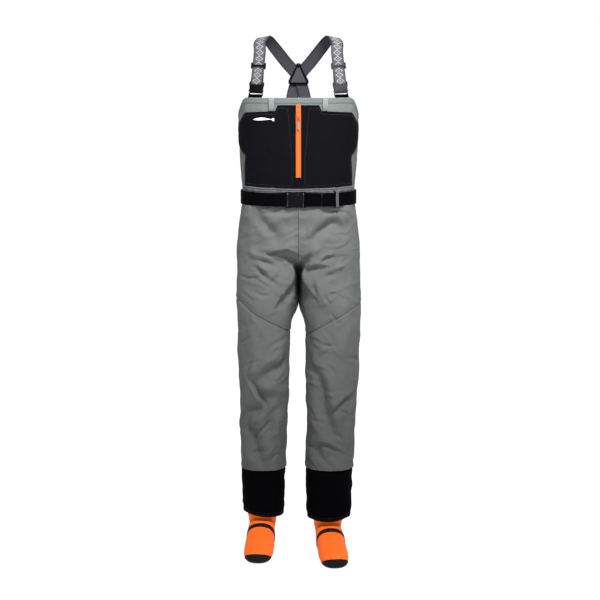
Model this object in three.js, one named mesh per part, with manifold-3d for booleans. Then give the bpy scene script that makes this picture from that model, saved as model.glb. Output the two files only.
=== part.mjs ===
// Stockingfoot chest waders: a bib with a zipped chest pocket, trousers, gravel guards, neoprene
// socks, a waist belt and crossed suspenders. Millimetres, +Z up. The wearer faces -Y, and +X is
// the wearer's left. Heights below are above the soles; the finished group is lowered at the end,
// so that its origin is midway between the shoulders, where the suspenders bear on the wearer.
import * as THREE from "three";
import { mergeVertices } from "three/addons/utils/BufferGeometryUtils.js";
import Module from "manifold-3d";

const wasm = await Module();
wasm.setup();

// ---------------------------------------------------------------- driving dimensions

const SHOULDER_HEIGHT = 1500;
const FABRIC = 2; // laminated shell, with its seam tape
const NEOPRENE = 4.5;
const GAP = 0.4; // between pieces that touch
const LOOSE = 1; // between a fabric piece and the shell that it is sewn to
const BELT_WEBBING = 38;
const STRAP_WEBBING = 35;
const WEBBING_THICK = 1.8;
const BELT_HEIGHT = 1051; // middle of the belt
const BIB_TOP = 1333; // top edge at the front
const BIB_SIDE_DROP = 46; // the top edge dips this far under the arms
const BIB_BACK_DROP = 16;
const CROTCH = 834;

const HIP = { y: 4, z: 872, radius: 152 };
const KNEE = { y: 2, z: 492, radius: 104 };
const ANKLE = { y: 10, z: 88, radius: 57 };
const RUNNING_GAP = 2.2; // between the two sides of a fabric joint

const SIDES = { right: -1, left: 1 };
const DEGREE = Math.PI / 180;

// ---------------------------------------------------------------- colours

const finish = (color, roughness, metalness = 0) =>
  new THREE.MeshStandardMaterial({ color, roughness, metalness });
const MATERIALS = {
  shell: finish(0x6f7674, 0.75),
  trim: finish(0xa9b0ae, 0.75),
  pocket: finish(0x16161b, 0.8),
  webbing: finish(0x0b0b0d, 0.85),
  strap: finish(0x6c6d73, 0.85),
  elastic: finish(0x3c3c42, 0.85),
  hardware: finish(0x151516, 0.45),
  zip: finish(0xee7a30, 0.5),
  guard: finish(0x070709, 0.9),
  sock: finish(0xf26a1e, 0.85),
  sole: finish(0x15171d, 0.85),
  pull: finish(0x6a6a68, 0.6),
};

// ---------------------------------------------------------------- geometry helpers

// Values between the rows of a table [height, ...values], through every row and without corners.
function profile(rows) {
  const slope = (i, k) => {
    const low = rows[Math.max(i - 1, 0)];
    const high = rows[Math.min(i + 1, rows.length - 1)];
    return (high[k] - low[k]) / (high[0] - low[0]);
  };
  return (height) => {
    let i = 0;
    while (i < rows.length - 2 && height > rows[i + 1][0]) i += 1;
    const span = rows[i + 1][0] - rows[i][0];
    const t = Math.min(1, Math.max(0, (height - rows[i][0]) / span));
    return rows[i].slice(1).map((_, n) => {
      const k = n + 1;
      return (
        rows[i][k] * (1 + 2 * t) * (1 - t) ** 2 +
        rows[i + 1][k] * (3 - 2 * t) * t ** 2 +
        slope(i, k) * span * t * (1 - t) ** 2 -
        slope(i + 1, k) * span * (1 - t) * t ** 2
      );
    });
  };
}

// A value on straight lines between points [position, value].
function alongLine(points, at) {
  for (let i = 1; i < points.length; i += 1) {
    const [p0, v0] = points[i - 1];
    const [p1, v1] = points[i];
    if (at <= p1 || i === points.length - 1) {
      return v0 + (v1 - v0) * Math.min(1, Math.max(0, (at - p0) / (p1 - p0)));
    }
  }
  return points[0][1];
}

const spread = (low, high, steps) =>
  Array.from({ length: steps + 1 }, (_, i) => low + ((high - low) * i) / steps);

const smooth = (t) => {
  const c = Math.min(1, Math.max(0, t));
  return c * c * (3 - 2 * c);
};

// One side of a rounded oval: a power of 2 is an ellipse, and more is squarer.
const rounded = (value, power) => Math.sign(value) * Math.abs(value) ** (2 / power);

// A geometry from vertices and triangles, turned so that its faces point out.
function closedGeometry(vertices, triangles) {
  let volume = 0;
  for (const [a, b, c] of triangles) {
    volume += vertices[a].dot(vertices[b].clone().cross(vertices[c]));
  }
  const index = triangles.flatMap(([a, b, c]) => (volume < 0 ? [a, c, b] : [a, b, c]));
  return new THREE.BufferGeometry().setFromPoints(vertices).setIndex(index);
}

// A wall between an inner and an outer skin. skin(u, v, layer) gives a point, with layer 0 inside
// and 1 outside. us and vs list the grid lines. A closed wall joins its last u to its first.
function wall(skin, us, vs, closed = false) {
  const vertices = [];
  const columns = us.length;
  const rows = vs.length;
  for (const layer of [0, 1]) {
    for (const u of us) for (const v of vs) vertices.push(skin(u, v, layer));
  }
  const at = (layer, i, j) => (layer * columns + (i % columns)) * rows + j;
  const triangles = [];
  const quad = (a, b, c, d) => triangles.push([a, b, c], [a, c, d]);
  const last = closed ? columns : columns - 1;
  for (let i = 0; i < last; i += 1) {
    for (let j = 0; j < rows - 1; j += 1) {
      quad(at(1, i, j), at(1, i + 1, j), at(1, i + 1, j + 1), at(1, i, j + 1));
      quad(at(0, i, j), at(0, i, j + 1), at(0, i + 1, j + 1), at(0, i + 1, j));
    }
    quad(at(0, i, 0), at(0, i + 1, 0), at(1, i + 1, 0), at(1, i, 0));
    quad(at(0, i + 1, rows - 1), at(0, i, rows - 1), at(1, i, rows - 1), at(1, i + 1, rows - 1));
  }
  for (let j = 0; j < rows - 1 && !closed; j += 1) {
    quad(at(0, 0, j + 1), at(0, 0, j), at(1, 0, j), at(1, 0, j + 1));
    quad(at(0, last, j), at(0, last, j + 1), at(1, last, j + 1), at(1, last, j));
  }
  return closedGeometry(vertices, triangles);
}

// A solid through rings of points, closed at both ends by a fan.
function loft(ring, around, stations) {
  const vertices = [];
  for (const s of stations) for (const a of around) vertices.push(ring(a, s));
  const n = around.length;
  const ends = [0, stations.length - 1].map((j) => {
    const middle = new THREE.Vector3();
    for (let i = 0; i < n; i += 1) middle.add(vertices[j * n + i]);
    return vertices.push(middle.divideScalar(n)) - 1;
  });
  const triangles = [];
  for (let i = 0; i < n; i += 1) {
    const next = (i + 1) % n;
    for (let j = 0; j < stations.length - 1; j += 1) {
      const a = j * n;
      triangles.push([a + i, a + next, a + n + next], [a + i, a + n + next, a + n + i]);
    }
    const top = (stations.length - 1) * n;
    triangles.push([ends[0], next, i], [ends[1], top + i, top + next]);
  }
  return closedGeometry(vertices, triangles);
}

const around = (steps) => spread(0, 2 * Math.PI, steps).slice(0, -1);

// A three.js geometry as a manifold solid, and back.
function solid(geometry) {
  const bare = geometry.clone();
  bare.deleteAttribute("normal");
  bare.deleteAttribute("uv");
  const merged = mergeVertices(bare, 1e-4);
  return new wasm.Manifold(
    new wasm.Mesh({
      numProp: 3,
      vertProperties: merged.attributes.position.array,
      triVerts: new Uint32Array(merged.index.array),
    }),
  );
}

function geometryOf(made) {
  const mesh = made.getMesh();
  return new THREE.BufferGeometry()
    .setAttribute("position", new THREE.BufferAttribute(mesh.vertProperties, 3))
    .setIndex(new THREE.BufferAttribute(mesh.triVerts, 1));
}

function block(low, high) {
  const size = high.map((value, i) => value - low[i]);
  const middle = high.map((value, i) => (value + low[i]) / 2);
  return solid(new THREE.BoxGeometry(...size).translate(...middle));
}

// Everything on one side of a fabric joint: a half space joined to a roll about the hinge axis.
function jointTool({ y, z, radius }, extra, side) {
  const reach = 2000;
  const roll = new THREE.CylinderGeometry(radius + extra, radius + extra, 2 * reach, 64);
  const half =
    side === "above"
      ? block([-reach, -reach, z], [reach, reach, z + reach])
      : block([-reach, -reach, z - reach], [reach, reach, z]);
  return half.add(solid(roll.rotateZ(Math.PI / 2).translate(0, y, z)));
}

// A flat outline, extruded along Y about the middle of its thickness.
function plate(outline, thickness, holes = []) {
  const shape = new THREE.Shape(outline.map(([x, z]) => new THREE.Vector2(x, z)));
  for (const hole of holes) {
    shape.holes.push(new THREE.Path(hole.map(([x, z]) => new THREE.Vector2(x, z))));
  }
  return new THREE.ExtrudeGeometry(shape, { depth: thickness, bevelEnabled: false })
    .translate(0, 0, -thickness / 2)
    .rotateX(Math.PI / 2);
}

// A rectangle with cut corners, as an outline for plate.
function rectangle(x0, x1, z0, z1, corner = 0) {
  if (!corner) return [[x0, z0], [x1, z0], [x1, z1], [x0, z1]];
  return [
    [x0 + corner, z0], [x1 - corner, z0], [x1, z0 + corner], [x1, z1 - corner],
    [x1 - corner, z1], [x0 + corner, z1], [x0, z1 - corner], [x0, z0 + corner],
  ];
}

const waders = new THREE.Group();

function add(name, geometry, material, parent = waders) {
  const mesh = new THREE.Mesh(geometry, MATERIALS[material]);
  mesh.name = name;
  parent.add(mesh);
  return mesh;
}

// ---------------------------------------------------------------- the body's form

// Trunk rows: height, half width, depth in front of the middle, depth behind it, and how square the
// outline is. From the waist up the front is a straight line, because the zip runs down it.
const BIB_SLOPE = 0.0286; // the front leans out by this much for each millimetre up
const frontAt = (z) => 108 + BIB_SLOPE * (z - BELT_HEIGHT);
const trunk = profile([
  [760, 180, 98, 104, 2.4],
  [834, 178, 102, 112, 2.4],
  [890, 177, 106, 116, 2.4],
  [945, 173, 108, 111, 2.4],
  [1000, 166, 107, 100, 2.4],
  [1052, 160, 108, 92, 2.4],
  [1110, 164, frontAt(1110), 94, 2.4],
  [1180, 169, frontAt(1180), 98, 2.5],
  [1252, 172, frontAt(1252), 99, 2.8],
  [1300, 169, frontAt(1300), 97, 3.2],
  [1350, 163, frontAt(1350), 94, 3.6],
]);

// A point on the trunk. The angle is 0 at the wearer's left side and 90 degrees at the back.
function trunkPoint(angle, z, grow = 0) {
  const [halfWidth, front, back, power] = trunk(z);
  const s = Math.sin(angle);
  const straight = z > BELT_HEIGHT && s < 0 ? frontAt(z) : s < 0 ? front : back;
  return new THREE.Vector3(
    (halfWidth + grow) * rounded(Math.cos(angle), power),
    (straight + grow) * rounded(s, power),
    z,
  );
}

// Leg rows: height, middle x, half width, middle y, half depth. The right leg stands a little
// wider and straighter than the left.
const LEGS = {
  right: profile([
    [240, 103, 64, 8, 67],
    [274, 103, 66, 8, 69],
    [360, 102, 69, 6, 73],
    [454, 100, 72, 2, 76],
    [560, 101, 74, -2, 80],
    [661, 100, 77, -2, 87],
    [744, 95, 84, 0, 95],
    [834, 90, 87, 4, 104],
    [905, 84, 82, 4, 96],
  ]),
  left: profile([
    [240, 90, 69, 8, 67],
    [274, 90, 70, 8, 69],
    [360, 94, 71, 6, 73],
    [454, 97, 73, 2, 76],
    [560, 99, 77, -2, 80],
    [661, 99, 80, -2, 87],
    [744, 95, 84, 0, 95],
    [834, 90, 87, 4, 104],
    [905, 84, 82, 4, 96],
  ]),
};
const LEG_POWER = 2.2;

function legPoint(side, angle, z, grow = 0) {
  const [x, halfWidth, y, halfDepth] = LEGS[side](z);
  return new THREE.Vector3(
    SIDES[side] * x + (halfWidth + grow) * rounded(Math.cos(angle), LEG_POWER),
    y + (halfDepth + grow) * rounded(Math.sin(angle), LEG_POWER),
    z,
  );
}

// ---------------------------------------------------------------- bib

// Height of the bib's top edge: level at the front, lower at the back and lowest under the arms.
function bibTop(angle) {
  const s = Math.sin(angle);
  const crest = s < 0 ? BIB_TOP : BIB_TOP - BIB_BACK_DROP;
  const low = BIB_TOP - BIB_SIDE_DROP;
  return low + (crest - low) * smooth(Math.abs(s) / 0.6);
}

const SEAM = 20 * DEGREE; // side seams, measured forwards from the sides
const BIB_BOTTOM = BELT_HEIGHT - 4;

function bibPanel(from, to, columns) {
  const skin = (angle, v, layer) => {
    const z = BIB_BOTTOM + v * (bibTop(angle) - BIB_BOTTOM);
    return trunkPoint(angle, z, layer ? 0 : -FABRIC);
  };
  return wall(skin, spread(from, to, columns), spread(0, 1, 7));
}

const SEAM_GAP = 0.25 * DEGREE;
add("bib_front", bibPanel(Math.PI + SEAM + SEAM_GAP, 2 * Math.PI - SEAM - SEAM_GAP, 20), "shell");
add("bib_back", bibPanel(-SEAM + SEAM_GAP, Math.PI + SEAM - SEAM_GAP, 20), "shell");

const HEM_HEIGHT = 13;
function hemSkin(angle, v, layer) {
  const z = bibTop(angle) - HEM_HEIGHT + v * (HEM_HEIGHT + 2);
  return trunkPoint(angle, z, LOOSE + layer * 1.4);
}
add("top_hem", wall(hemSkin, around(40), [0, 1], true), "shell");

// A strip of trim on the trunk: it stands clear of the shell between its two sewn ends.
const LOOP_WIDTH = 15;
function trimLoop(angle, width, low, high, clear, thick, foot = 0.66, rise = 4) {
  const skin = (u, v, layer) => {
    const z = low + v * (high - low);
    const arch = Math.min(1, rise * Math.min(v, 1 - v) + foot);
    const middle = trunkPoint(angle, z, clear * arch + layer * thick);
    const ahead = trunkPoint(angle + 0.01, z, 0).sub(trunkPoint(angle - 0.01, z, 0)).normalize();
    return middle.addScaledVector(ahead, (u - 0.5) * width);
  };
  return wall(skin, [0, 1], spread(0, 1, 8));
}

// Angle at which the trunk's front passes a given x.
const frontAngle = (x, z) =>
  -Math.acos(Math.sign(x) * Math.min(1, Math.abs(x) / trunk(z)[0]) ** (trunk(z)[3] / 2));

for (const side of Object.keys(SIDES)) {
  const angle = frontAngle(SIDES[side] * 75, 1315);
  const loop = trimLoop(angle, LOOP_WIDTH, 1299.5, BIB_TOP + 3, 5.2, 1.4);
  add(`${side}_bib_loop`, loop, "trim");
}

// ---------------------------------------------------------------- chest pocket

// The pocket's outline, measured round the trunk in degrees from the front's middle.
const POCKET_TOP = [[1.4, 1315], [10.9, 1315], [13.8, 1298], [53.4, 1294], [77, 1257]];
const POCKET_SIDE = [[1085, 66], [1150, 62], [1172, 60], [1205, 77], [1257, 77]];
const POCKET_BOTTOM = [[1.4, 1081], [66, 1086]];
const POCKET_THICK = 1.6;
const ZIP_EDGE = 7.6; // half the width between the pocket's two halves

function pocketSkin(side, u, v, layer) {
  const low = alongLine(POCKET_BOTTOM, u);
  const z = low + v * (alongLine(POCKET_TOP, u) - low);
  const reach = alongLine(POCKET_SIDE, z);
  const angle = ((u - 1.4) * (reach - 1.4)) / (77 - 1.4) * DEGREE;
  const start = -frontAngle(ZIP_EDGE, z);
  const turn = start - angle;
  return trunkPoint(
    side === "left" ? -turn : Math.PI + turn,
    z,
    LOOSE + layer * POCKET_THICK,
  );
}
const POCKET_COLUMNS = [1.4, 6, 10.9, 13.8, 22, 31, 40, 47, 53.4, 61, 69, 77];
for (const side of Object.keys(SIDES)) {
  const skin = (u, v, layer) => pocketSkin(side, u, v, layer);
  add(`${side}_pocket_panel`, wall(skin, POCKET_COLUMNS, spread(0, 1, 10)), "pocket");
}

// ---------------------------------------------------------------- zip

// The zip lies along the front's straight line: this group's Z runs up it, and -Y points out.
const ZIP_BOTTOM = 1107;
const ZIP_LENGTH = 209;
const zip = new THREE.Group();
zip.position.set(0, -frontAt(ZIP_BOTTOM), ZIP_BOTTOM);
zip.rotation.x = Math.atan(BIB_SLOPE);
waders.add(zip);

const TAPE_HALF = ZIP_EDGE - GAP - 0.2;
const tapeOutline = [
  [-TAPE_HALF, -4], [TAPE_HALF, 3], [TAPE_HALF, ZIP_LENGTH - 20], [-TAPE_HALF, ZIP_LENGTH - 20],
];
const TAPE_OUT = -1.1; // middle of the tape's thickness, in front of the shell
const tape = solid(plate(tapeOutline, 1.2).translate(0, TAPE_OUT, 0));
const coil = block([-1.6, -2.4, 6], [1.6, TAPE_OUT, ZIP_LENGTH - 22]);
add("zip_tape", geometryOf(tape.add(coil)), "zip", zip);

const garage = solid(
  plate(rectangle(-TAPE_HALF, TAPE_HALF, ZIP_LENGTH - 19.4, ZIP_LENGTH, 1.5), 1.6, [
    rectangle(-1.6, 1.6, ZIP_LENGTH - 9, ZIP_LENGTH - 6),
  ]).translate(0, -1.3, 0),
);
add("zip_garage", geometryOf(garage), "zip", zip);

// The slider straddles the coil, and its bridge holds the pull's ring end.
const SLIDER_TOP = ZIP_LENGTH - 22.5;
const SLIDER_LENGTH = 14;
const sliderBody = solid(
  plate(
    [[-3.2, 0], [3.2, 0], [4.6, 6], [4.2, SLIDER_LENGTH], [-4.2, SLIDER_LENGTH], [-4.6, 6]],
    3.1,
  ).translate(0, -3.65, SLIDER_TOP - SLIDER_LENGTH),
);
const coilRoom = block([-2.1, -2.8, SLIDER_TOP - 20], [2.1, 0, SLIDER_TOP + 5]);
const bridge = block([-1, -8.2, SLIDER_TOP - 11], [1, -5, SLIDER_TOP - 3]);
const bridgeEye = block([-2, -7.1, SLIDER_TOP - 9.4], [2, -5.2, SLIDER_TOP - 4.6]);
add(
  "zip_slider",
  geometryOf(sliderBody.subtract(coilRoom).add(bridge).subtract(bridgeEye)),
  "zip",
  zip,
);

// The pull hangs from the bridge: a wire ring through the eye, a cord and a moulded grip.
const PULL_PIVOT = SLIDER_TOP - 6.6;
const ring = block([-3.2, -6.8, PULL_PIVOT - 9], [3.2, -5.6, PULL_PIVOT + 0.6]).subtract(
  block([-1.9, -8, PULL_PIVOT - 6], [1.9, -4, PULL_PIVOT - 0.6]),
);
const cord = block([-1.3, -7.2, PULL_PIVOT - 18], [1.3, -5.2, PULL_PIVOT - 8.5]);
const grip = solid(
  plate(
    [[-2.6, -40], [2.6, -40], [3.4, -36], [2.8, -22], [1.8, -17], [-1.8, -17], [-2.8, -22], [-3.4, -36]],
    3.2,
  ).translate(0, -6.4, PULL_PIVOT),
);
add("zip_pull", geometryOf(ring.add(cord).add(grip)), "pull", zip);

// ---------------------------------------------------------------- trousers

const TRUNK_RINGS = around(36);
const LEG_RINGS = around(28);
const TROUSER_TOP = BELT_HEIGHT - 5;
const GUARD_SEAM = 256; // where the leg fabric ends, over the gravel guard

function trouserForm(grow, top, crotch) {
  const seat = loft((a, z) => trunkPoint(a, z, grow), TRUNK_RINGS, [
    crotch, 860, 890, 920, 950, 985, 1020, top,
  ]);
  const legs = Object.keys(SIDES).map((side) =>
    solid(
      loft((a, z) => legPoint(side, a, z, grow), LEG_RINGS, [640, 700, 760, 800, 834, 870, 900]),
    ),
  );
  return legs.reduce((whole, leg) => whole.add(leg), solid(seat));
}

const trousers = trouserForm(0, TROUSER_TOP, CROTCH).subtract(
  trouserForm(-FABRIC, TROUSER_TOP + 5, CROTCH + FABRIC),
);
add("trouser_seat", geometryOf(trousers.intersect(jointTool(HIP, 0, "above"))), "shell");

function legTube(side) {
  const skin = (a, z, layer) => legPoint(side, a, z, layer ? 0 : -FABRIC);
  const heights = [GUARD_SEAM, 300, 350, 400, 454, 510, 560, 610, 661, 700, 744, 790, 820];
  return solid(wall(skin, LEG_RINGS, heights, true));
}

for (const side of Object.keys(SIDES)) {
  const tube = legTube(side).subtract(jointTool(HIP, RUNNING_GAP, "above"));
  const kneeAbove = jointTool(KNEE, 0, "above");
  add(`${side}_upper_leg`, geometryOf(tube.intersect(kneeAbove)), "shell");
  const lower = tube.subtract(jointTool(KNEE, RUNNING_GAP, "above"));
  add(`${side}_lower_leg`, geometryOf(lower), "shell");
}

// ---------------------------------------------------------------- gravel guards and inner cuffs

const GUARD_BOTTOM = { right: 115, left: 99 };
const GUARD_TOP = GUARD_SEAM + 12;
const GUARD_TAPER = 4; // the guard draws in by this much over its height
const GUARD_THICK = 2;

function guardPoint(side, angle, z, grow) {
  const share = (GUARD_TOP - z) / (GUARD_TOP - GUARD_BOTTOM[side]);
  const p = legPoint(side, angle, Math.max(z, GUARD_SEAM), grow - GUARD_TAPER * share);
  return p.setZ(z);
}

for (const side of Object.keys(SIDES)) {
  const bottom = GUARD_BOTTOM[side];
  const inside = -FABRIC - LOOSE;
  const skin = (a, z, layer) => guardPoint(side, a, z, inside - (layer ? 0 : GUARD_THICK));
  const heights = [bottom + 12 + GAP, ...spread(bottom + 40, GUARD_TOP, 4)];
  add(`${side}_gravel_guard`, wall(skin, LEG_RINGS, heights, true), "guard");
  // The elastic hem is a thicker band that draws the guard in.
  const hem = (a, v, layer) =>
    guardPoint(side, a, bottom + 12 * v, inside + (layer ? 0.8 : -2.4) - 1.5 * (1 - v) ** 2);
  add(`${side}_guard_hem`, wall(hem, LEG_RINGS, [0, 0.5, 1], true), "guard");
}

// ---------------------------------------------------------------- neoprene socks

// Foot rows, from the heel forwards: distance, half width, bottom, top.
const footForm = profile([
  [0, 15, 16, 44],
  [8, 26, 3, 62],
  [28, 33, -2, 82],
  [60, 37, -2, 98],
  [95, 40, -2, 96],
  [130, 41, -2, 78],
  [170, 42, -2, 61],
  [210, 42, -2, 48],
  [238, 37, -1, 40],
  [254, 26, 3, 31],
  [262, 13, 9, 24],
]);
const FOOT = {
  right: { x: -104, heel: 66, z: 15, splay: 3 * DEGREE },
  left: { x: 82, heel: 66, z: 0, splay: 5.5 * DEGREE },
};
const SOCK_TOP = 232;
const SOLE = 5;
const TOE_SEAM = 236; // from the heel to the toe cap's seam
const FOOT_POWER = 2.5;
const FOOT_STATIONS = [0, 8, 22, 42, 66, 95, 125, 160, 195, 225, 245, 256, 262];
const ANKLE_RINGS = around(24);

function footPoint(angle, distance, grow) {
  const [halfWidth, bottom, top] = footForm(distance);
  const along = (distance / 262 - 0.5) * 2 * grow; // both ends grow too
  return new THREE.Vector3(
    (halfWidth + grow) * rounded(Math.cos(angle), FOOT_POWER),
    -(distance + along),
    (top + bottom) / 2 + ((top - bottom) / 2 + grow) * rounded(Math.sin(angle), FOOT_POWER),
  );
}

// The sock's ankle: height above the sole, half width, middle and half depth behind the heel.
const ankleForm = profile([
  [40, 34, -44, 40],
  [80, 41, -52, 46],
  [110, 44, -56, 47],
  [160, 46, -58, 49],
  [235, 52, -59, 55],
]);

function anklePoint(angle, z, grow) {
  const [halfWidth, y, halfDepth] = ankleForm(z);
  return new THREE.Vector3(
    (halfWidth + grow) * Math.cos(angle),
    y + (halfDepth + grow) * Math.sin(angle),
    z,
  );
}

function sockForm(grow, top) {
  const foot = loft((a, d) => footPoint(a, d, grow), ANKLE_RINGS, FOOT_STATIONS);
  const ankle = loft((a, z) => anklePoint(a, z, grow), ANKLE_RINGS, [45, 62, 80, 110, 160, top]);
  return solid(foot).add(solid(ankle));
}

// Moves a solid made at the heel to its place on one side.
function placedFoot(made, { x, heel, z, splay }) {
  const turn = new THREE.Matrix4()
    .makeTranslation(x, heel, z)
    .multiply(new THREE.Matrix4().makeRotationZ(-Math.sign(-x) * splay));
  return made.transform(turn.elements);
}

for (const side of Object.keys(SIDES)) {
  const place = FOOT[side];
  const far = 500;
  const top = SOCK_TOP - place.z;
  const above = (height) => block([-far, -far, height], [far, far, far]);
  const skin = sockForm(0, top).intersect(above(0));
  const hollow = sockForm(-NEOPRENE, top + 10).intersect(above(SOLE + GAP));
  const sock = skin.subtract(hollow);
  const body = placedFoot(sock.intersect(above(SOLE + GAP)), place);

  const ankle = { ...ANKLE, z: ANKLE.z + place.z };
  const legPart = body.subtract(jointTool(ankle, RUNNING_GAP, "below"));
  add(`${side}_sock_leg`, geometryOf(legPart), "sock");

  const footPart = body.intersect(jointTool(ankle, 0, "below"));
  const toeBlock = placedFoot(block([-far, -far, -far], [far, -TOE_SEAM, far]), place);
  const restBlock = placedFoot(block([-far, -TOE_SEAM + GAP, -far], [far, far, far]), place);
  add(`${side}_sock_foot`, geometryOf(footPart.intersect(restBlock)), "sock");
  add(`${side}_toe_cap`, geometryOf(footPart.intersect(toeBlock)), "sole");

  const sole = placedFoot(skin.intersect(block([-far, -far, 0], [far, far, SOLE])), place);
  add(`${side}_sock_sole`, geometryOf(sole), "sole");

  // A band of tape over the instep, on a plane that falls towards the heel.
  const bandPlane = solid(new THREE.BoxGeometry(300, 300, 11));
  const slope = new THREE.Matrix4()
    .makeTranslation(0, -128, 79)
    .multiply(new THREE.Matrix4().makeRotationX(-42 * DEGREE));
  const band = sockForm(GAP + 1.2, top)
    .subtract(sockForm(GAP, top + 10))
    .intersect(bandPlane.transform(slope.elements))
    .intersect(block([-far, -160, 32], [far, -60, far]));
  add(`${side}_instep_band`, geometryOf(placedFoot(band, place)), "sole");

  // The shell narrows to the sock inside the guard, where the two are taped together.
  const cuffSkin = (angle, v, layer) => {
    const z = SOCK_TOP + GAP + v * (GUARD_SEAM - 2 - SOCK_TOP);
    const upper = legPoint(side, angle, GUARD_SEAM, -FABRIC - LOOSE - GUARD_THICK - 1.4);
    const [halfWidth, y, halfDepth] = ankleForm(top);
    const lower = new THREE.Vector3(
      place.x + halfWidth * Math.cos(angle),
      place.heel + y + halfDepth * Math.sin(angle),
      z,
    );
    const middle = new THREE.Vector3(SIDES[side] * LEGS[side](GUARD_SEAM)[0], place.heel + y, z);
    const p = lower.lerp(upper.setZ(z), smooth(v));
    return layer ? p : p.lerp(middle, 0.03);
  };
  add(`${side}_inner_cuff`, wall(cuffSkin, ANKLE_RINGS, [0, 0.35, 0.7, 1], true), "shell");
}

// ---------------------------------------------------------------- side-release buckles

// A buckle has its own frame: Z runs along the webbing from the male half to the female half, and
// -Y is its front. The prongs hinge where they leave the male half.
const STRAP_BUCKLE = {
  webbing: STRAP_WEBBING,
  halfWidth: 20.8,
  maleBar: -12, // far edge of the male half's webbing bar
  femaleTop: 30,
  prong: 17,
};
const BELT_BUCKLE = {
  webbing: BELT_WEBBING,
  halfWidth: 22.4,
  maleBar: -22,
  femaleTop: 38,
  prong: 21,
};
const BAR = 3.2; // width of a webbing bar
const SLOT = 6;
const MALE_THICK = 3.4;
const FEMALE_THICK = 8.6;
const CAVITY = 4.6;
const MOUTH = 0.6; // where the female half begins
const LOOP_CLEAR = 2.5; // from the middle of a bar to the webbing round it

function maleHalf({ webbing, halfWidth, maleBar, prong }) {
  const slotHalf = webbing / 2 + 0.8;
  const slot = rectangle(-slotHalf, slotHalf, maleBar + BAR, maleBar + BAR + SLOT);
  const base = plate(rectangle(-halfWidth, halfWidth, maleBar, 0, 2.5), MALE_THICK, [slot]);
  const guide = [[-4, -1], [4, -1], [4, prong - 4], [2.5, prong], [-2.5, prong], [-4, prong - 4]];
  return geometryOf(solid(base).add(solid(plate(guide, MALE_THICK))));
}

// One prong. Its outer edge swells towards the tip, where a finger presses it.
function prong(size, sign) {
  const edge = size.halfWidth - 3;
  const outline = [
    [edge - 5, 0.5], [edge - 1.8, 0.5], [edge - 1.2, 5], [edge - 0.2, size.prong - 6],
    [edge - 0.4, size.prong - 1], [edge - 3.2, size.prong], [edge - 4.4, size.prong - 4],
    [edge - 4.2, 6],
  ];
  return plate(outline.map(([x, z]) => [sign * x, z]), MALE_THICK);
}

function femaleHalf({ webbing, halfWidth, femaleTop, prong }) {
  const slotHalf = webbing / 2 + 0.8;
  const slot = rectangle(-slotHalf, slotHalf, femaleTop - BAR - SLOT, femaleTop - BAR);
  const waist = prong / 2 + 2;
  const half = [
    [halfWidth, MOUTH], [halfWidth, 4], [halfWidth - 1.4, waist - 3], [halfWidth - 1.4, waist + 3],
    [halfWidth, prong + 2], [halfWidth, femaleTop - 3], [halfWidth - 2.5, femaleTop],
  ];
  const outline = [...half, ...half.map(([x, z]) => [-x, z]).reverse()];
  const reach = halfWidth - 2.6;
  const cavity = block([-reach, -CAVITY / 2, -5], [reach, CAVITY / 2, prong + 1]);
  const windows = block([-40, -CAVITY / 2, 6], [40, CAVITY / 2, prong - 1]);
  // The webbing bar is thinner than the body, so that the webbing lies level with it.
  const recess = [-1, 1].map((face) => {
    const ys = [face * (MALE_THICK / 2), face * FEMALE_THICK].sort((a, b) => a - b);
    return block([-slotHalf, ys[0], femaleTop - BAR - SLOT + 1], [slotHalf, ys[1], femaleTop + 1]);
  });
  const body = solid(plate(outline, FEMALE_THICK, [slot]));
  return geometryOf(
    [cavity, windows, ...recess].reduce((whole, cut) => whole.subtract(cut), body),
  );
}

function buckle(parent, name, size, prongs) {
  add(`${name}_buckle_male`, maleHalf(size), "hardware", parent);
  add(`${name}_${prongs[0]}_prong`, prong(size, -1), "hardware", parent);
  add(`${name}_${prongs[1]}_prong`, prong(size, 1), "hardware", parent);
  add(`${name}_buckle_female`, femaleHalf(size), "hardware", parent);
}

// Webbing that turns round a bar: two plies that run up from the bar, or down where length is
// negative. lead and trail say how far beyond the bar's middle the front and back plies reach.
function webbingLoop(width, clear, length) {
  const way = Math.sign(length);
  const path = (radius) => [
    [-radius, length],
    ...spread(Math.PI, 2 * Math.PI, 6).map((a) => [
      radius * Math.cos(a),
      way * radius * Math.sin(a),
    ]),
    [radius, length],
  ];
  const outline = [...path(clear + WEBBING_THICK), ...path(clear).reverse()];
  const shape = new THREE.Shape(outline.map(([y, z]) => new THREE.Vector2(y, z)));
  const [x, y, z] = [0, 1, 2].map((i) => new THREE.Vector3().setComponent(i, 1));
  return new THREE.ExtrudeGeometry(shape, { depth: width, bevelEnabled: false })
    .translate(0, 0, -width / 2)
    .applyMatrix4(new THREE.Matrix4().makeBasis(y, z, x));
}

// ---------------------------------------------------------------- belt

// The belt lies flat across the front, where its buckle is, and follows the waist elsewhere.
const BELT_FLAT = 66; // half the flat length
const BELT_OUT = -119; // the buckle's middle plane
const BELT_LIFT = 4.5; // from the shell to the belt's inner face
const PLY = LOOP_CLEAR; // from the buckle's middle plane to a ply's inner face

const belt = new THREE.Group();
belt.position.set(0, BELT_OUT, BELT_HEIGHT);
belt.rotation.y = -Math.PI / 2;
waders.add(belt);
buckle(belt, "belt", BELT_BUCKLE, ["lower", "upper"]);

// The end that carries the male half: doubled round its bar, and loose when the buckle opens.
const maleBarMiddle = BELT_BUCKLE.maleBar + BAR / 2;
const beltEndLength = BELT_FLAT - GAP + maleBarMiddle;
add(
  "belt_end",
  webbingLoop(BELT_WEBBING, LOOP_CLEAR, -beltEndLength).translate(0, 0, maleBarMiddle),
  "webbing",
  belt,
);

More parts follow.
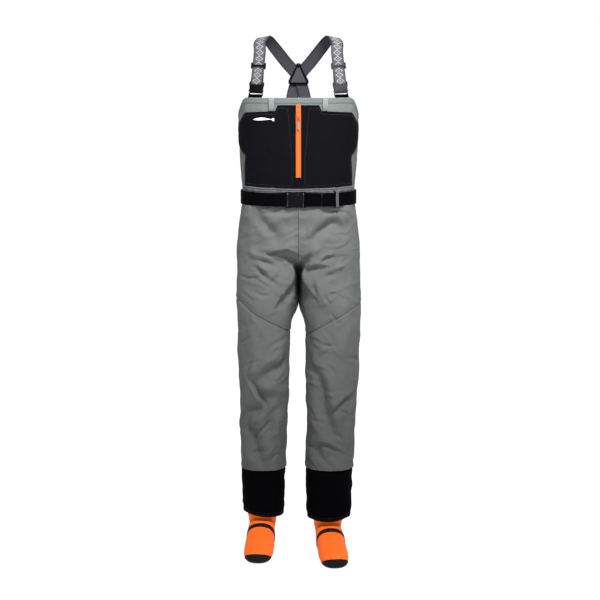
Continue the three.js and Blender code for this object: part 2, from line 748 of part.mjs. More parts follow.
// A point beside the waist: shift moves it out from the belt's inner face. The flat length passes
// over into the curve between the front's edge and the angle where the curve takes over.
const CURVE_FROM = 32 * DEGREE;
function waistPoint(angle, z, shift) {
  const p = trunkPoint(angle, BELT_HEIGHT, BELT_LIFT + shift).setZ(z);
  return p;
}

function beltStrip(angles, shift, flatY) {
  const half = BELT_WEBBING / 2;
  const heights = [BELT_HEIGHT - half, BELT_HEIGHT + half];
  const skin = (z, angle, layer) => {
    const out = shift + layer * WEBBING_THICK;
    const p = waistPoint(angle, z, out);
    const near = Math.min(Math.abs(angle - leftEnd), Math.abs(angle - rightEnd));
    const share = 1 - smooth(near / CURVE_FROM);
    return p.setY(p.y + (flatY - layer * WEBBING_THICK - p.y) * share);
  };
  return wall(skin, heights, angles);
}

const beltShare = 1 + BELT_LIFT / trunk(BELT_HEIGHT)[0];
const leftEnd = frontAngle(BELT_FLAT / beltShare, BELT_HEIGHT);
const rightEnd = Math.PI - leftEnd;
const backPly = BELT_OUT + PLY + WEBBING_THICK;
const strip = solid(beltStrip(spread(leftEnd, rightEnd, 44), 0, backPly));
const femaleLoop = webbingLoop(
  BELT_WEBBING,
  LOOP_CLEAR,
  BELT_FLAT + 1 - BELT_BUCKLE.femaleTop + BAR / 2,
);
const placedLoop = femaleLoop
  .translate(0, 0, BELT_BUCKLE.femaleTop - BAR / 2)
  .rotateY(-Math.PI / 2)
  .translate(0, BELT_OUT, BELT_HEIGHT);
add("belt_webbing", geometryOf(strip.add(solid(placedLoop))), "webbing");

// The tail lies on the belt, from the male half's front ply to its melted end.
const tailEnd = frontAngle(122, BELT_HEIGHT);
const frontPly = BELT_OUT - PLY;
add(
  "belt_tail",
  beltStrip(spread(leftEnd, tailEnd, 8), WEBBING_THICK + GAP, frontPly),
  "webbing",
);

// The left keeper holds the tail's end at the front, and the right one is behind the hip.
const KEEPER_ANGLE = { left: frontAngle(101, BELT_HEIGHT), right: 152 * DEGREE };
for (const side of Object.keys(SIDES)) {
  const low = BELT_HEIGHT - 27;
  const high = BELT_HEIGHT + 27;
  const clear = side === "left" ? 20 : BELT_LIFT + 3;
  const keeper = trimLoop(KEEPER_ANGLE[side], 8, low, high, clear, 1.2, 0.12, 8);
  add(`${side}_belt_loop`, keeper, "shell");
}

// ---------------------------------------------------------------- suspenders

// Each suspender's straight front length has its own frame, with Z up the strap and -Y its face.
const STRAP_FOOT = { x: 119, y: -87, z: 1350 };
const STRAP_LEAN = -10 * DEGREE; // backwards
const STRAP_ROLL = 2.5 * DEGREE; // towards the neck
const STRAP_YAW = 18 * DEGREE; // with the bib's corner
const STRAP_END = 57; // lower end of the fixed strap
const STRAP_BEND = 116; // upper end of its straight length
const ADJUSTER_AT = 66;
const ADJUSTER_HEIGHT = 17;

function strapFrame(side) {
  const frame = new THREE.Group();
  frame.position.set(SIDES[side] * STRAP_FOOT.x, STRAP_FOOT.y, STRAP_FOOT.z);
  frame.rotation.set(
    STRAP_LEAN,
    -SIDES[side] * STRAP_ROLL,
    SIDES[side] * STRAP_YAW,
    "ZYX",
  );
  waders.add(frame);
  frame.updateMatrixWorld(true);
  return frame;
}

// The adjuster's rails pass beside the strap, its middle bar in front and its end bars behind.
function adjuster() {
  const inner = STRAP_WEBBING / 2 + 0.8;
  const outer = inner + 2.6;
  const rails = [-1, 1].map((s) =>
    block(
      [Math.min(s * outer, s * inner), -4, 0],
      [Math.max(s * outer, s * inner), 3.6, ADJUSTER_HEIGHT],
    ),
  );
  const front = block([-outer, -4, 5.5], [outer, -1.7, 11.5]);
  const low = block([-outer, 1.7, 0], [outer, 3.6, 3.6]);
  const high = block([-outer, 1.7, ADJUSTER_HEIGHT - 3.6], [outer, 3.6, ADJUSTER_HEIGHT]);
  return rails.reduce((whole, rail) => whole.add(rail), front.add(low).add(high));
}

// A strap's middle line as points with the outward normal at each, for the left side: the front
// length over the shoulder to its crown, then the elastic back length down to the bib.
const CROWN_ROUTE = [
  { at: [109, -56, 1485], out: [0.2, -0.72, 0.66] },
  { at: [104, -36, 1497], out: [0.2, -0.42, 0.88] },
  { at: [100, -14, 1503], out: [0.2, -0.1, 0.97] },
];
const BACK_ROUTE = [
  { at: [99.2, -12.6, 1503], out: [0.2, -0.1, 0.97] },
  { at: [95, 14, 1503], out: [0.18, 0.25, 0.95] },
  { at: [84, 42, 1493], out: [0.1, 0.6, 0.8] },
  { at: [65, 66, 1469], out: [0.04, 0.85, 0.5] },
  { at: [36, 86, 1432], out: [0, 0.95, 0.3] },
  { at: [4, 98, 1394], out: [0, 0.98, 0.16] },
  { at: [-12, 102, 1356], out: [0, 1, 0.05] },
  { at: [-20.5, 103, 1318], out: [0, 1, 0] },
  { at: [-25, 104, 1284], out: [0, 1, 0] },
];

// A flat strap along a route. lift(t) moves its inner face out along the normal.
function strap(route, side, lift, steps) {
  const mirror = (v) => new THREE.Vector3(SIDES[side] * v[0], v[1], v[2]);
  const curve = (key) =>
    new THREE.CatmullRomCurve3(route.map((p) => mirror(p[key])), false, "centripetal");
  const line = curve("at");
  const normals = curve("out");
  const skin = (u, t, layer) => {
    const along = line.getTangent(t);
    const across = along.clone().cross(normals.getPoint(t)).normalize();
    const normal = across.clone().cross(along).normalize();
    return line
      .getPoint(t)
      .addScaledVector(across, (u - 0.5) * STRAP_WEBBING)
      .addScaledVector(normal, lift(t) + layer * WEBBING_THICK);
  };
  return wall(skin, [0, 1], spread(0, 1, steps));
}

for (const side of Object.keys(SIDES)) {
  const frame = strapFrame(side);
  const neck = side === "right" ? ["outer", "inner"] : ["inner", "outer"];
  buckle(frame, `${side}_strap`, STRAP_BUCKLE, neck);
  const slider = geometryOf(adjuster()).translate(0, 0, ADJUSTER_AT);
  add(`${side}_adjuster`, slider, "hardware", frame);

  // The tab holds the male half: it turns round the bar and hangs inside the bib, where it is sewn.
  const tab = new THREE.Group();
  const bar = new THREE.Vector3(0, 0, STRAP_BUCKLE.maleBar + BAR / 2);
  tab.position.copy(bar.applyMatrix4(frame.matrixWorld));
  tab.rotation.z = SIDES[side] * STRAP_YAW;
  waders.add(tab);
  const tabLoop = webbingLoop(STRAP_WEBBING, LOOP_CLEAR + 0.6, -26);
  add(`${side}_front_tab`, tabLoop, "webbing", tab);

  // The strap's doubled end turns round the female half's bar, and shortens when it is let go.
  const start = STRAP_BUCKLE.femaleTop - BAR / 2;
  const end = webbingLoop(STRAP_WEBBING, LOOP_CLEAR, STRAP_END - GAP - start);
  add(`${side}_strap_end`, end.translate(0, 0, start), "strap", frame);

  // The fixed strap: straight through the adjuster, then over the shoulder to its crown.
  const front = new THREE.Vector3(0, -1, 0).transformDirection(frame.matrixWorld);
  const own = (p) => [SIDES[side] * p.x, p.y, p.z];
  const straight = spread(STRAP_END, STRAP_BEND, 4).map((h) => ({
    at: own(new THREE.Vector3(0, 0, h).applyMatrix4(frame.matrixWorld)),
    out: own(front),
  }));
  const middle = () => -WEBBING_THICK / 2;
  const frontStrap = strap([...straight, ...CROWN_ROUTE], side, middle, 24);
  add(`${side}_front_strap`, frontStrap, "strap");
  // The two elastic back lengths cross, the left one outside.
  const over = (t) => (side === "left" ? 3 * smooth(t / 0.3) : 0) - WEBBING_THICK / 2;
  add(`${side}_back_strap`, strap(BACK_ROUTE, side, over, 30), "elastic");
}

// The moulded cross piece: a triangular frame on each face of the crossing, joined at its corners.
const CROSS_RING = [[-27.5, -20], [27.5, -20], [29.5, -14], [5, 38], [-5, 38], [-29.5, -14]];
const CROSS_HOLE = [[-22, -15], [22, -15], [22.5, -12], [3, 30], [-3, 30], [-22.5, -12]];
const crossPlate = (y) => solid(plate(CROSS_RING, 2, [CROSS_HOLE]).translate(0, y, 0));
const CROSS_NEAR = -6.8; // from the middle of the crossing to the frame on the wearer's side
const CROSS_FAR = 8.4;
const posts = [[-2, 32.5, 4, 5], [-28.6, -19.5, 2.4, 5], [26.2, -19.5, 2.4, 5]].map(([x, z, w, h]) =>
  block([x, CROSS_NEAR, z], [x + w, CROSS_FAR, z + h]),
);
const cross = new THREE.Group();
cross.position.set(0, 97.5, 1390);
cross.rotation.x = 13 * DEGREE;
waders.add(cross);
const crossPiece = posts.reduce(
  (whole, post) => whole.add(post),
  crossPlate(CROSS_NEAR).add(crossPlate(CROSS_FAR)),
);
add("back_cross", geometryOf(crossPiece), "hardware", cross);

waders.position.z = -SHOULDER_HEIGHT;

export default waders;
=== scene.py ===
"""Chest waders: the visual model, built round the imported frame.

Shapes are worked out in millimetres above the soles, as the frame's own drawing is, and become
metres in the row frame when a mesh is made. The wearer faces -Y, and +X is the wearer's left.
"""
import math

import bmesh
import bpy
import numpy as np
from mathutils import Matrix, Vector
from mathutils.kdtree import KDTree


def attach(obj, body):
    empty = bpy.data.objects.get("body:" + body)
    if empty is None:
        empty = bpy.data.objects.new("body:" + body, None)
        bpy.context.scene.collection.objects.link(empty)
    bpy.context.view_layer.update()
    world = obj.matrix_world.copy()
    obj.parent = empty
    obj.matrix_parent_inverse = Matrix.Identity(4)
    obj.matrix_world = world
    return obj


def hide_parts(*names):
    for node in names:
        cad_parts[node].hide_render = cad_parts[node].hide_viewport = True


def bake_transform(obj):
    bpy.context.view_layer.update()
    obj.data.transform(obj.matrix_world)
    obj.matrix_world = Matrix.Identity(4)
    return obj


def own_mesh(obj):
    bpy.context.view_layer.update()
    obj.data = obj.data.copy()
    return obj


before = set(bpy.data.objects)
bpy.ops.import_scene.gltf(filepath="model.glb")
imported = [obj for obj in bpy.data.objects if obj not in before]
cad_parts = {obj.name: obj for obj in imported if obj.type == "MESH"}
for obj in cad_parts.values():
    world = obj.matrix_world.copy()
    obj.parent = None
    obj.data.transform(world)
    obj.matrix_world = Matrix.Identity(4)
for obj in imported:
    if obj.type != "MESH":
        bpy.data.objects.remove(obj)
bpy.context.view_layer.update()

# ------------------------------------------------------------------ driving dimensions

SHOULDER_HEIGHT = 1500.0
BELT_HEIGHT = 1051.0
BELT_WEBBING = 38.0
STRAP_WEBBING = 35.0
WEBBING_THICK = 1.8
BIB_TOP = 1333.0
BIB_SIDE_DROP = 46.0
BIB_BACK_DROP = 16.0
BIB_SLOPE = 0.0286
CROTCH = 834.0
HEM = 256.0
GUARD_TOP = 268.0
GUARD_BOTTOM = {"right": 115.0, "left": 99.0}
SIDES = {"right": -1, "left": 1}
DEGREE = math.pi / 180


def to_row(points):
    """Points in millimetres above the soles, as metres in the row frame."""
    return (np.asarray(points, float) - (0, 0, SHOULDER_HEIGHT)) / 1000


def smooth(t):
    t = np.clip(t, 0, 1)
    return t * t * (3 - 2 * t)


def bump_at(value, middle, width):
    """A smooth bump of height 1 at a place, `width` wide to each side."""
    return np.exp(-(((value - middle) / width) ** 2))


def rounded(value, power):
    return np.sign(value) * np.abs(value) ** (2 / power)


def profile(rows):
    """Values between the rows [height, ...values], through every row and without corners."""
    rows = np.array(rows, float)
    high = np.minimum(np.arange(len(rows)) + 1, len(rows) - 1)
    low = np.maximum(np.arange(len(rows)) - 1, 0)
    slopes = (rows[high] - rows[low]) / (rows[high, :1] - rows[low, :1])

    def at(z):
        z = np.asarray(z, float)
        i = np.clip(np.searchsorted(rows[:, 0], z, side="right") - 1, 0, len(rows) - 2)
        span = rows[i + 1, 0] - rows[i, 0]
        t = np.clip((z - rows[i, 0]) / span, 0, 1)[..., None]
        span = span[..., None]
        out = (
            rows[i, 1:] * (1 + 2 * t) * (1 - t) ** 2
            + rows[i + 1, 1:] * (3 - 2 * t) * t**2
            + slopes[i, 1:] * span * t * (1 - t) ** 2
            - slopes[i + 1, 1:] * span * (1 - t) * t**2
        )
        return np.moveaxis(out, -1, 0)

    return at


def front_at(z):
    return 108 + BIB_SLOPE * (np.asarray(z, float) - BELT_HEIGHT)


# Height, half width, depth in front, depth behind, squareness.
trunk = profile([
    [760, 180, 98, 104, 2.4],
    [834, 178, 102, 112, 2.4],
    [890, 177, 106, 116, 2.4],
    [945, 173, 108, 111, 2.4],
    [1000, 166, 107, 100, 2.4],
    [1052, 160, 108, 92, 2.4],
    [1110, 164, front_at(1110), 94, 2.4],
    [1180, 169, front_at(1180), 98, 2.5],
    [1252, 172, front_at(1252), 99, 2.8],
    [1300, 169, front_at(1300), 97, 3.2],
    [1350, 163, front_at(1350), 94, 3.6],
])

LEG_TOP_ROWS = [[744, 95, 84, 0, 95], [834, 90, 87, 4, 104], [905, 84, 82, 4, 96]]
# Height, middle x, half width, middle y, half depth.
LEGS = {
    "right": profile([
        [240, 103, 64, 8, 67], [274, 103, 66, 8, 69], [360, 102, 69, 6, 73], [454, 100, 72, 2, 76],
        [560, 101, 74, -2, 80], [661, 100, 77, -2, 87], *LEG_TOP_ROWS,
    ]),
    "left": profile([
        [240, 90, 69, 8, 67], [274, 90, 70, 8, 69], [360, 94, 71, 6, 73], [454, 97, 73, 2, 76],
        [560, 99, 77, -2, 80], [661, 99, 80, -2, 87], *LEG_TOP_ROWS,
    ]),
}
LEG_POWER = 2.2


def trunk_point(angle, z, grow=0.0):
    """A point on the trunk. The angle is 0 at the wearer's left side and 90 degrees behind."""
    half, front, back, power = trunk(z)
    s = np.sin(angle)
    straight = np.where(s < 0, np.where(np.asarray(z) > BELT_HEIGHT, front_at(z), front), back)
    x = (half + grow) * rounded(np.cos(angle), power)
    y = (straight + grow) * rounded(s, power)
    return np.stack(np.broadcast_arrays(x, y, np.asarray(z, float)), -1)


def leg_point(side, angle, z, grow=0.0):
    x, half, y, depth = LEGS[side](z)
    px = SIDES[side] * x + (half + grow) * rounded(np.cos(angle), LEG_POWER)
    py = y + (depth + grow) * rounded(np.sin(angle), LEG_POWER)
    return np.stack(np.broadcast_arrays(px, py, np.asarray(z, float)), -1)


def bib_top(angle):
    """Height of the bib's top edge at each angle: high at the front and the back, low at the sides."""
    s = np.sin(angle)
    crest = np.where(s < 0, BIB_TOP, BIB_TOP - BIB_BACK_DROP)
    low = BIB_TOP - BIB_SIDE_DROP
    return low + (crest - low) * smooth(np.abs(s) / 0.6)


def front_angle(x, z):
    """Angle at which the trunk's front passes a given x."""
    half, _, _, power = trunk(z)
    share = np.minimum(1, np.abs(x) / half) ** (power / 2)
    return -np.arccos(np.sign(x) * share)


# ------------------------------------------------------------------ noise and folds

def lattice_noise(points, size, seed):
    """Smooth noise from -1 to 1, with features of about that size."""
    rng = np.random.default_rng(seed)
    table = rng.uniform(-1, 1, (32, 32, 32))
    p = np.asarray(points, float) / size
    base = np.floor(p).astype(int)
    f = p - base
    f = f * f * (3 - 2 * f)
    total = np.zeros(p.shape[:-1])
    for dx in (0, 1):
        for dy in (0, 1):
            for dz in (0, 1):
                corner = (base + (dx, dy, dz)) % 32
                weight = (
                    (f[..., 0] if dx else 1 - f[..., 0])
                    * (f[..., 1] if dy else 1 - f[..., 1])
                    * (f[..., 2] if dz else 1 - f[..., 2])
                )
                total += weight * table[corner[..., 0], corner[..., 1], corner[..., 2]]
    return total


def spline(points, steps=8):
    """A smooth path through the points."""
    p = np.asarray(points, float)
    if len(p) < 3:
        return p
    ends = np.concatenate([[2 * p[0] - p[1]], p, [2 * p[-1] - p[-2]]])
    out = []
    for i in range(1, len(ends) - 2):
        for t in np.linspace(0, 1, steps, endpoint=False):
            a, b, c, d = ends[i - 1 : i + 3]
            out.append(
                0.5 * (2 * b + (c - a) * t + (2 * a - 5 * b + 4 * c - d) * t**2
                       + (3 * b - a - 3 * c + d) * t**3)
            )
    out.append(p[-1])
    return np.array(out)


def beside(x, z, path):
    """Signed distance from a path, positive to the left of its direction, and share along it."""
    best = np.full(x.shape, np.inf)
    hand = np.ones(x.shape)
    share = np.zeros(x.shape)
    steps = np.diff(path, axis=0)
    lengths = np.hypot(steps[:, 0], steps[:, 1])
    starts = np.concatenate([[0], np.cumsum(lengths)])
    for (x0, z0), (dx, dz), length, start in zip(path, steps, lengths, starts):
        t = np.clip(((x - x0) * dx + (z - z0) * dz) / length**2, 0, 1)
        ex = x - x0 - t * dx
        ez = z - z0 - t * dz
        distance = np.hypot(ex, ez)
        near = distance < best
        best = np.where(near, distance, best)
        hand = np.where(near, np.sign(dx * ez - dz * ex), hand)
        share = np.where(near, (start + t * length) / starts[-1], share)
    return best * hand, share


def fold_height(x, z, folds):
    """Height of the cloth over its plain form. A fold is (kind, height, width, path)."""
    total = np.zeros(x.shape)
    for kind, height, width, path in folds:
        path = np.asarray(path, float)
        reach = 4 * width
        low = path.min(axis=0) - reach
        high = path.max(axis=0) + reach
        inside = (x > low[0]) & (x < high[0]) & (z > low[1]) & (z < high[1])
        if not inside.any():
            continue
        d, share = beside(x[inside], z[inside], spline(path))
        taper = np.clip(np.sin(np.pi * np.clip(share, 0.02, 0.98)), 0, 1) ** 0.6
        if kind == "ridge":
            shape = np.exp(-((d / width) ** 2))
        elif kind == "valley":
            shape = -np.exp(-((d / width) ** 2)) + 0.35 * np.exp(-(((np.abs(d) - 1.9 * width) / width) ** 2))
        else:  # an edge: raised on the left of the path, sunk on its right
            shape = np.tanh(d / 2.6) * np.exp(-np.abs(d) / width)
        total[inside] += height * taper * shape
    return total


def small_folds(seed, count, area, lean, height=(0.6, 1.6), length=(20, 70)):
    """Short folds strewn over an area (x0, z0, x1, z1), leaning about one direction in degrees."""
    rng = np.random.default_rng(seed)
    out = []
    for _ in range(count):
        x = rng.uniform(area[0], area[2])
        z = rng.uniform(area[1], area[3])
        angle = (lean + rng.normal(0, 24)) * DEGREE
        half = rng.uniform(*length) / 2
        bend = rng.normal(0, 0.25) * half
        dx, dz = half * math.cos(angle), half * math.sin(angle)
        path = [(x - dx, z - dz), (x - bend * math.sin(angle), z + bend * math.cos(angle)), (x + dx, z + dz)]
        kind = ("ridge", "valley", "edge")[rng.integers(0, 3)]
        out.append((kind, rng.uniform(*height), rng.uniform(3.5, 7), path))
    return out


# ------------------------------------------------------------------ grids and meshes

def grid_normals(points, closed):
    """Unit normals of a grid of rows by columns, its columns running left-handed round +Z."""
    if closed:
        across = np.roll(points, -1, axis=1) - np.roll(points, 1, axis=1)
    else:
        across = np.gradient(points, axis=1)
    up = np.gradient(points, axis=0)
    n = np.cross(across, up)
    return n / np.maximum(np.linalg.norm(n, axis=-1, keepdims=True), 1e-9)


def spaced(line, count):
    """A polyline's points, spaced evenly."""
    steps = np.linalg.norm(np.diff(line, axis=0), axis=1)
    along = np.concatenate([[0], np.cumsum(steps)])
    at = np.linspace(0, along[-1], count)
    return np.stack([np.interp(at, along, line[:, k]) for k in range(line.shape[1])], -1)


def grid_faces(rows, columns, closed):
    last = columns if closed else columns - 1
    i, j = np.meshgrid(np.arange(rows - 1), np.arange(last), indexing="ij")
    k = (j + 1) % columns
    return np.stack(
        [i * columns + j, i * columns + k, (i + 1) * columns + k, (i + 1) * columns + j], -1
    ).reshape(-1, 4)


def grid_uv(points, closed):
    """Lengths round and along the grid in metres, as u and v. A closed grid has one column more."""
    p = np.concatenate([points, points[:, :1]], axis=1) if closed else points
    round_ = np.linalg.norm(np.diff(p, axis=1), axis=-1)
    u = np.concatenate([np.zeros((len(p), 1)), np.cumsum(round_, axis=1)], axis=1)
    u -= u[:, -1:] / 2
    up = np.linalg.norm(np.diff(p, axis=0), axis=-1).mean(axis=1)
    v = np.concatenate([[0], np.cumsum(up)])
    return np.stack([u, np.broadcast_to(v[:, None], u.shape)], -1) / 1000


def make_object(name, vertices, faces, material, uv=None, crease=50, quiet=False):
    """A mesh object from points in millimetres. uv holds one pair for each corner of each face."""
    vertices = np.asarray(vertices, float)
    used = np.unique(np.concatenate([np.ravel(f) for f in faces]))
    order = np.full(len(vertices), -1)
    order[used] = np.arange(len(used))
    mesh = bpy.data.meshes.new(name)
    mesh.from_pydata(to_row(vertices[used]).tolist(), [], [order[list(f)].tolist() for f in faces])
    if uv is not None:
        layer = mesh.uv_layers.new(name="UVMap")
        layer.data.foreach_set("uv", np.asarray(uv, float).ravel())
    mesh.polygons.foreach_set("use_smooth", [True] * len(mesh.polygons))
    mesh.set_sharp_from_angle(angle=crease * DEGREE)
    mesh.materials.append(material)
    mesh.validate()
    obj = bpy.data.objects.new(name, mesh)
    bpy.context.scene.collection.objects.link(obj)
    return obj


def wall(name, outer, inner, faces, material, corner_uv=None, crease=50):
    """A closed sheet between two layers of the same faces, with its rim."""
    outer = np.asarray(outer, float).reshape(-1, 3)
    inner = np.asarray(inner, float).reshape(-1, 3)
    count = len(outer)
    faces = np.asarray(faces)
    width = faces.shape[1]
    start = faces.ravel()
    end = np.roll(faces, -1, axis=1).ravel()
    keys = start.astype(np.int64) * count + end
    rim = ~np.isin(end.astype(np.int64) * count + start, keys)
    rims = np.stack([end[rim], start[rim], start[rim] + count, end[rim] + count], -1)
    every = [*faces.tolist(), *(faces[:, ::-1] + count).tolist(), *rims.tolist()]
    uv = None
    if corner_uv is not None:
        corner_uv = np.asarray(corner_uv, float).reshape(-1, width, 2)
        flat = corner_uv.reshape(-1, 2)
        ahead = np.roll(corner_uv, -1, axis=1).reshape(-1, 2)
        rim_uv = np.stack([ahead[rim], flat[rim], flat[rim], ahead[rim]], 1)
        uv = np.concatenate([flat, corner_uv[:, ::-1].reshape(-1, 2), rim_uv.reshape(-1, 2)])
    return make_object(name, np.concatenate([outer, inner]), every, material, uv, crease)


def grid_wall(name, points, normals, closed, thick, material, keep=None, out=0.0, crease=50):
    """A sheet of cloth from a grid: its outer face lies `out` beyond the points."""
    rows, columns = points.shape[:2]
    faces = grid_faces(rows, columns, closed)
    uv = grid_uv(points, closed)
    wide = uv.shape[1]
    last = columns if closed else columns - 1
    i, j = np.meshgrid(np.arange(rows - 1), np.arange(last), indexing="ij")
    flat = uv.reshape(-1, 2)
    corner = np.stack(
        [flat[i * wide + j], flat[i * wide + j + 1], flat[(i + 1) * wide + j + 1], flat[(i + 1) * wide + j]],
        -2,
    ).reshape(-1, 4, 2)
    if keep is not None:
        faces = faces[keep.ravel()]
        corner = corner[keep.ravel()]
    outer = points + out * normals
    return wall(name, outer, outer - thick * normals, faces, material, corner, crease)


class Surface:
    """A grid that other pieces are laid on."""

    def __init__(self, points, closed):
        self.points = points
        self.closed = closed
        self.normals = grid_normals(points, closed)

    def at(self, row, column):
        """Points and normals at fractional rows and columns."""
        rows, columns = self.points.shape[:2]
        row = np.clip(row, 0, rows - 1.001)
        i = np.floor(row).astype(int)
        f = (row - i)[..., None]
        if self.closed:
            column = np.mod(column, columns)
        else:
            column = np.clip(column, 0, columns - 1.001)
        j = np.floor(column).astype(int)
        g = (column - j)[..., None]
        k = (j + 1) % columns

        def mix(a):
            low = a[i, j % columns] * (1 - g) + a[i, k] * g
            high = a[i + 1, j % columns] * (1 - g) + a[i + 1, k] * g
            return low * (1 - f) + high * f

        n = mix(self.normals)
        return mix(self.points), n / np.linalg.norm(n, axis=-1, keepdims=True)


def stitches(name, points, normals, material, pitch=4.0, length=2.6, width=0.7, high=0.45):
    """Separate stitches along a path, a little proud of the cloth."""
    steps = np.linalg.norm(np.diff(points, axis=0), axis=1)
    along = np.concatenate([[0], np.cumsum(steps)])
    starts = np.arange(pitch / 2, along[-1] - pitch / 2, pitch)
    vertices, faces = [], []

    def at(s):
        p = np.array([np.interp(s, along, points[:, k]) for k in range(3)])
        n = np.array([np.interp(s, along, normals[:, k]) for k in range(3)])
        return p, n / np.linalg.norm(n)

    for s in starts:
        a, n = at(s - length / 2)
        b, _ = at(s + length / 2)
        side = np.cross(b - a, n)
        side = side / np.linalg.norm(side) * width / 2
        top = n * high
        first = len(vertices)
        for end, lift in ((a, 0.35), (0.5 * (a + b), 1), (b, 0.35)):
            vertices += [end - side - n * 0.3, end - side * 0.7 + top * lift,
                         end + side * 0.7 + top * lift, end + side - n * 0.3]
        for ring in (0, 4):
            for k in range(4):
                faces.append([first + ring + k, first + ring + (k + 1) % 4,
                              first + ring + 4 + (k + 1) % 4, first + ring + 4 + k])
        faces.append([first + 3, first + 2, first + 1, first])
        faces.append([first + 8, first + 9, first + 10, first + 11])
    return make_object(name, vertices, faces, material, crease=80)


# ------------------------------------------------------------------ materials

class Value:
    """A number in a material's node tree, which arithmetic builds on."""

    def __init__(self, tree, socket):
        self.tree = tree
        self.socket = socket

    def op(self, kind, *others, clamp=False):
        node = self.tree.nodes.new("ShaderNodeMath")
        node.operation = kind
        node.use_clamp = clamp
        for i, item in enumerate((self, *others)):
            if isinstance(item, Value):
                self.tree.links.new(item.socket, node.inputs[i])
            else:
                node.inputs[i].default_value = item
        return Value(self.tree, node.outputs[0])

    def __add__(self, other):
        return self.op("ADD", other)

    def __sub__(self, other):
        return self.op("SUBTRACT", other)

    def __mul__(self, other):
        return self.op("MULTIPLY", other)

    def between(self, low, high):
        """0 at low, 1 at high, and smooth between."""
        node = self.tree.nodes.new("ShaderNodeMapRange")
        node.interpolation_type = "SMOOTHSTEP"
        node.inputs["From Min"].default_value = low
        node.inputs["From Max"].default_value = high
        self.tree.links.new(self.socket, node.inputs["Value"])
        return Value(self.tree, node.outputs["Result"])

    def wave(self, period):
        """A triangle wave from 0 to 1."""
        return (self * (1 / period)).op("PINGPONG", 0.5) * 2


class Paint:
    """A Principled material that is built up from procedural parts."""

    def __init__(self, name, color, roughness, metallic=0.0, specular=0.5):
        self.material = bpy.data.materials.new(name)
        self.material.use_nodes = True
        self.tree = self.material.node_tree
        self.shader = self.tree.nodes["Principled BSDF"]
        self.color = color
        self.shader.inputs["Base Color"].default_value = (*color, 1)
        self.shader.inputs["Roughness"].default_value = roughness
        self.shader.inputs["Metallic"].default_value = metallic
        self.shader.inputs["Specular IOR Level"].default_value = specular
        self.coordinates = self.tree.nodes.new("ShaderNodeTexCoord")
        self.material.diffuse_color = (*color, 1)

    def uv(self):
        split = self.tree.nodes.new("ShaderNodeSeparateXYZ")
        self.tree.links.new(self.coordinates.outputs["UV"], split.inputs[0])
        return Value(self.tree, split.outputs[0]), Value(self.tree, split.outputs[1])

    def place(self):
        split = self.tree.nodes.new("ShaderNodeSeparateXYZ")
        self.tree.links.new(self.coordinates.outputs["Object"], split.inputs[0])
        return [Value(self.tree, split.outputs[k]) for k in range(3)]

    def noise(self, size, detail=3.0, stretch=(1, 1, 1), space="Object"):
        mapping = self.tree.nodes.new("ShaderNodeMapping")
        mapping.inputs["Scale"].default_value = [1 / (size * s) for s in stretch]
        self.tree.links.new(self.coordinates.outputs[space], mapping.inputs["Vector"])
        node = self.tree.nodes.new("ShaderNodeTexNoise")
        node.inputs["Scale"].default_value = 1
        node.inputs["Detail"].default_value = detail
        self.tree.links.new(mapping.outputs[0], node.inputs["Vector"])
        return Value(self.tree, node.outputs[0])

    def mix(self, factor, other, first=None):
        """Mixes another colour into the base colour."""
        node = self.tree.nodes.new("ShaderNodeMix")
        node.data_type = "RGBA"
        base = self.shader.inputs["Base Color"]
        if base.is_linked:
            self.tree.links.new(base.links[0].from_socket, node.inputs[6])
        else:
            node.inputs[6].default_value = (*self.color, 1)
        node.inputs[7].default_value = (*other, 1)
        self.tree.links.new(factor.socket, node.inputs[0])
        self.tree.links.new(node.outputs[2], base)

    def relief(self, height, distance, strength=1.0):
        node = self.tree.nodes.new("ShaderNodeBump")
        node.inputs["Distance"].default_value = distance
        node.inputs["Strength"].default_value = strength
        self.tree.links.new(height.socket, node.inputs["Height"])
        normal = self.shader.inputs["Normal"]
        if normal.is_linked:
            self.tree.links.new(normal.links[0].from_socket, node.inputs["Normal"])
        self.tree.links.new(node.outputs[0], normal)

    def roughen(self, factor, low, high):
        node = self.tree.nodes.new("ShaderNodeMapRange")
        node.inputs["To Min"].default_value = low
        node.inputs["To Max"].default_value = high
        self.tree.links.new(factor.socket, node.inputs["Value"])
        self.tree.links.new(node.outputs[0], self.shader.inputs["Roughness"])


def shade(color, factor):
    """A colour times a factor."""
    return tuple(c * factor for c in color)


def woven(name, color, thread=0.0011, roughness=0.8, relief=0.00012, mottle=0.12, specular=0.25):
    """A woven cloth with its threads, faint mottling and a little wear."""
    p = Paint(name, color, roughness, specular=specular)
    u, v = p.uv()
    threads = u.wave(thread) * v.wave(thread)
    offset = (u + thread / 2).wave(thread) * (v + thread / 2).wave(thread)
    weave = threads.op("MAXIMUM", offset)
    p.mix((weave * -1 + 1) * 0.35, shade(color, 0.72))
    cloud = p.noise(0.06, 4)
    p.mix(cloud.between(0.35, 0.7) * mottle * 4, shade(color, 1.16))
    fine = p.noise(0.006, 3)
    p.mix(fine.between(0.4, 0.75) * mottle * 2, shade(color, 0.86))
    p.relief(weave, relief)
    p.relief(p.noise(0.012, 4), 0.0006, 0.35)
    return p


def shell_cloth_painted_shade(name, color):
    """The shell's cloth, with painted shade: darker down the legs and near black between the legs at the
    crotch.
    """
    p = woven(name, color, mottle=0.1)
    _, _, z = p.place()
    # Painted shade: the cloth darkens down the legs, where less of the lamp's light reaches.
    p.mix((z.between(-0.55, -1.25)) * 0.9, shade(color, 0.55))
    # Painted shade between the legs: near black close to the middle, from just above the crotch to below it.
    top = float(to_row((0, 0, CROTCH + 36))[2])
    foot = float(to_row((0, 0, CROTCH - 100))[2])
    depth = z.between(top, top - 0.022) * z.between(foot - 0.02, foot + 0.05)
    x, y, _ = p.place()
    inside = x.op("ABSOLUTE").between(0.015, 0.0045) * y.between(0.075, 0.045)
    p.mix(inside * depth * 0.93, shade(color, 0.03))
    return p


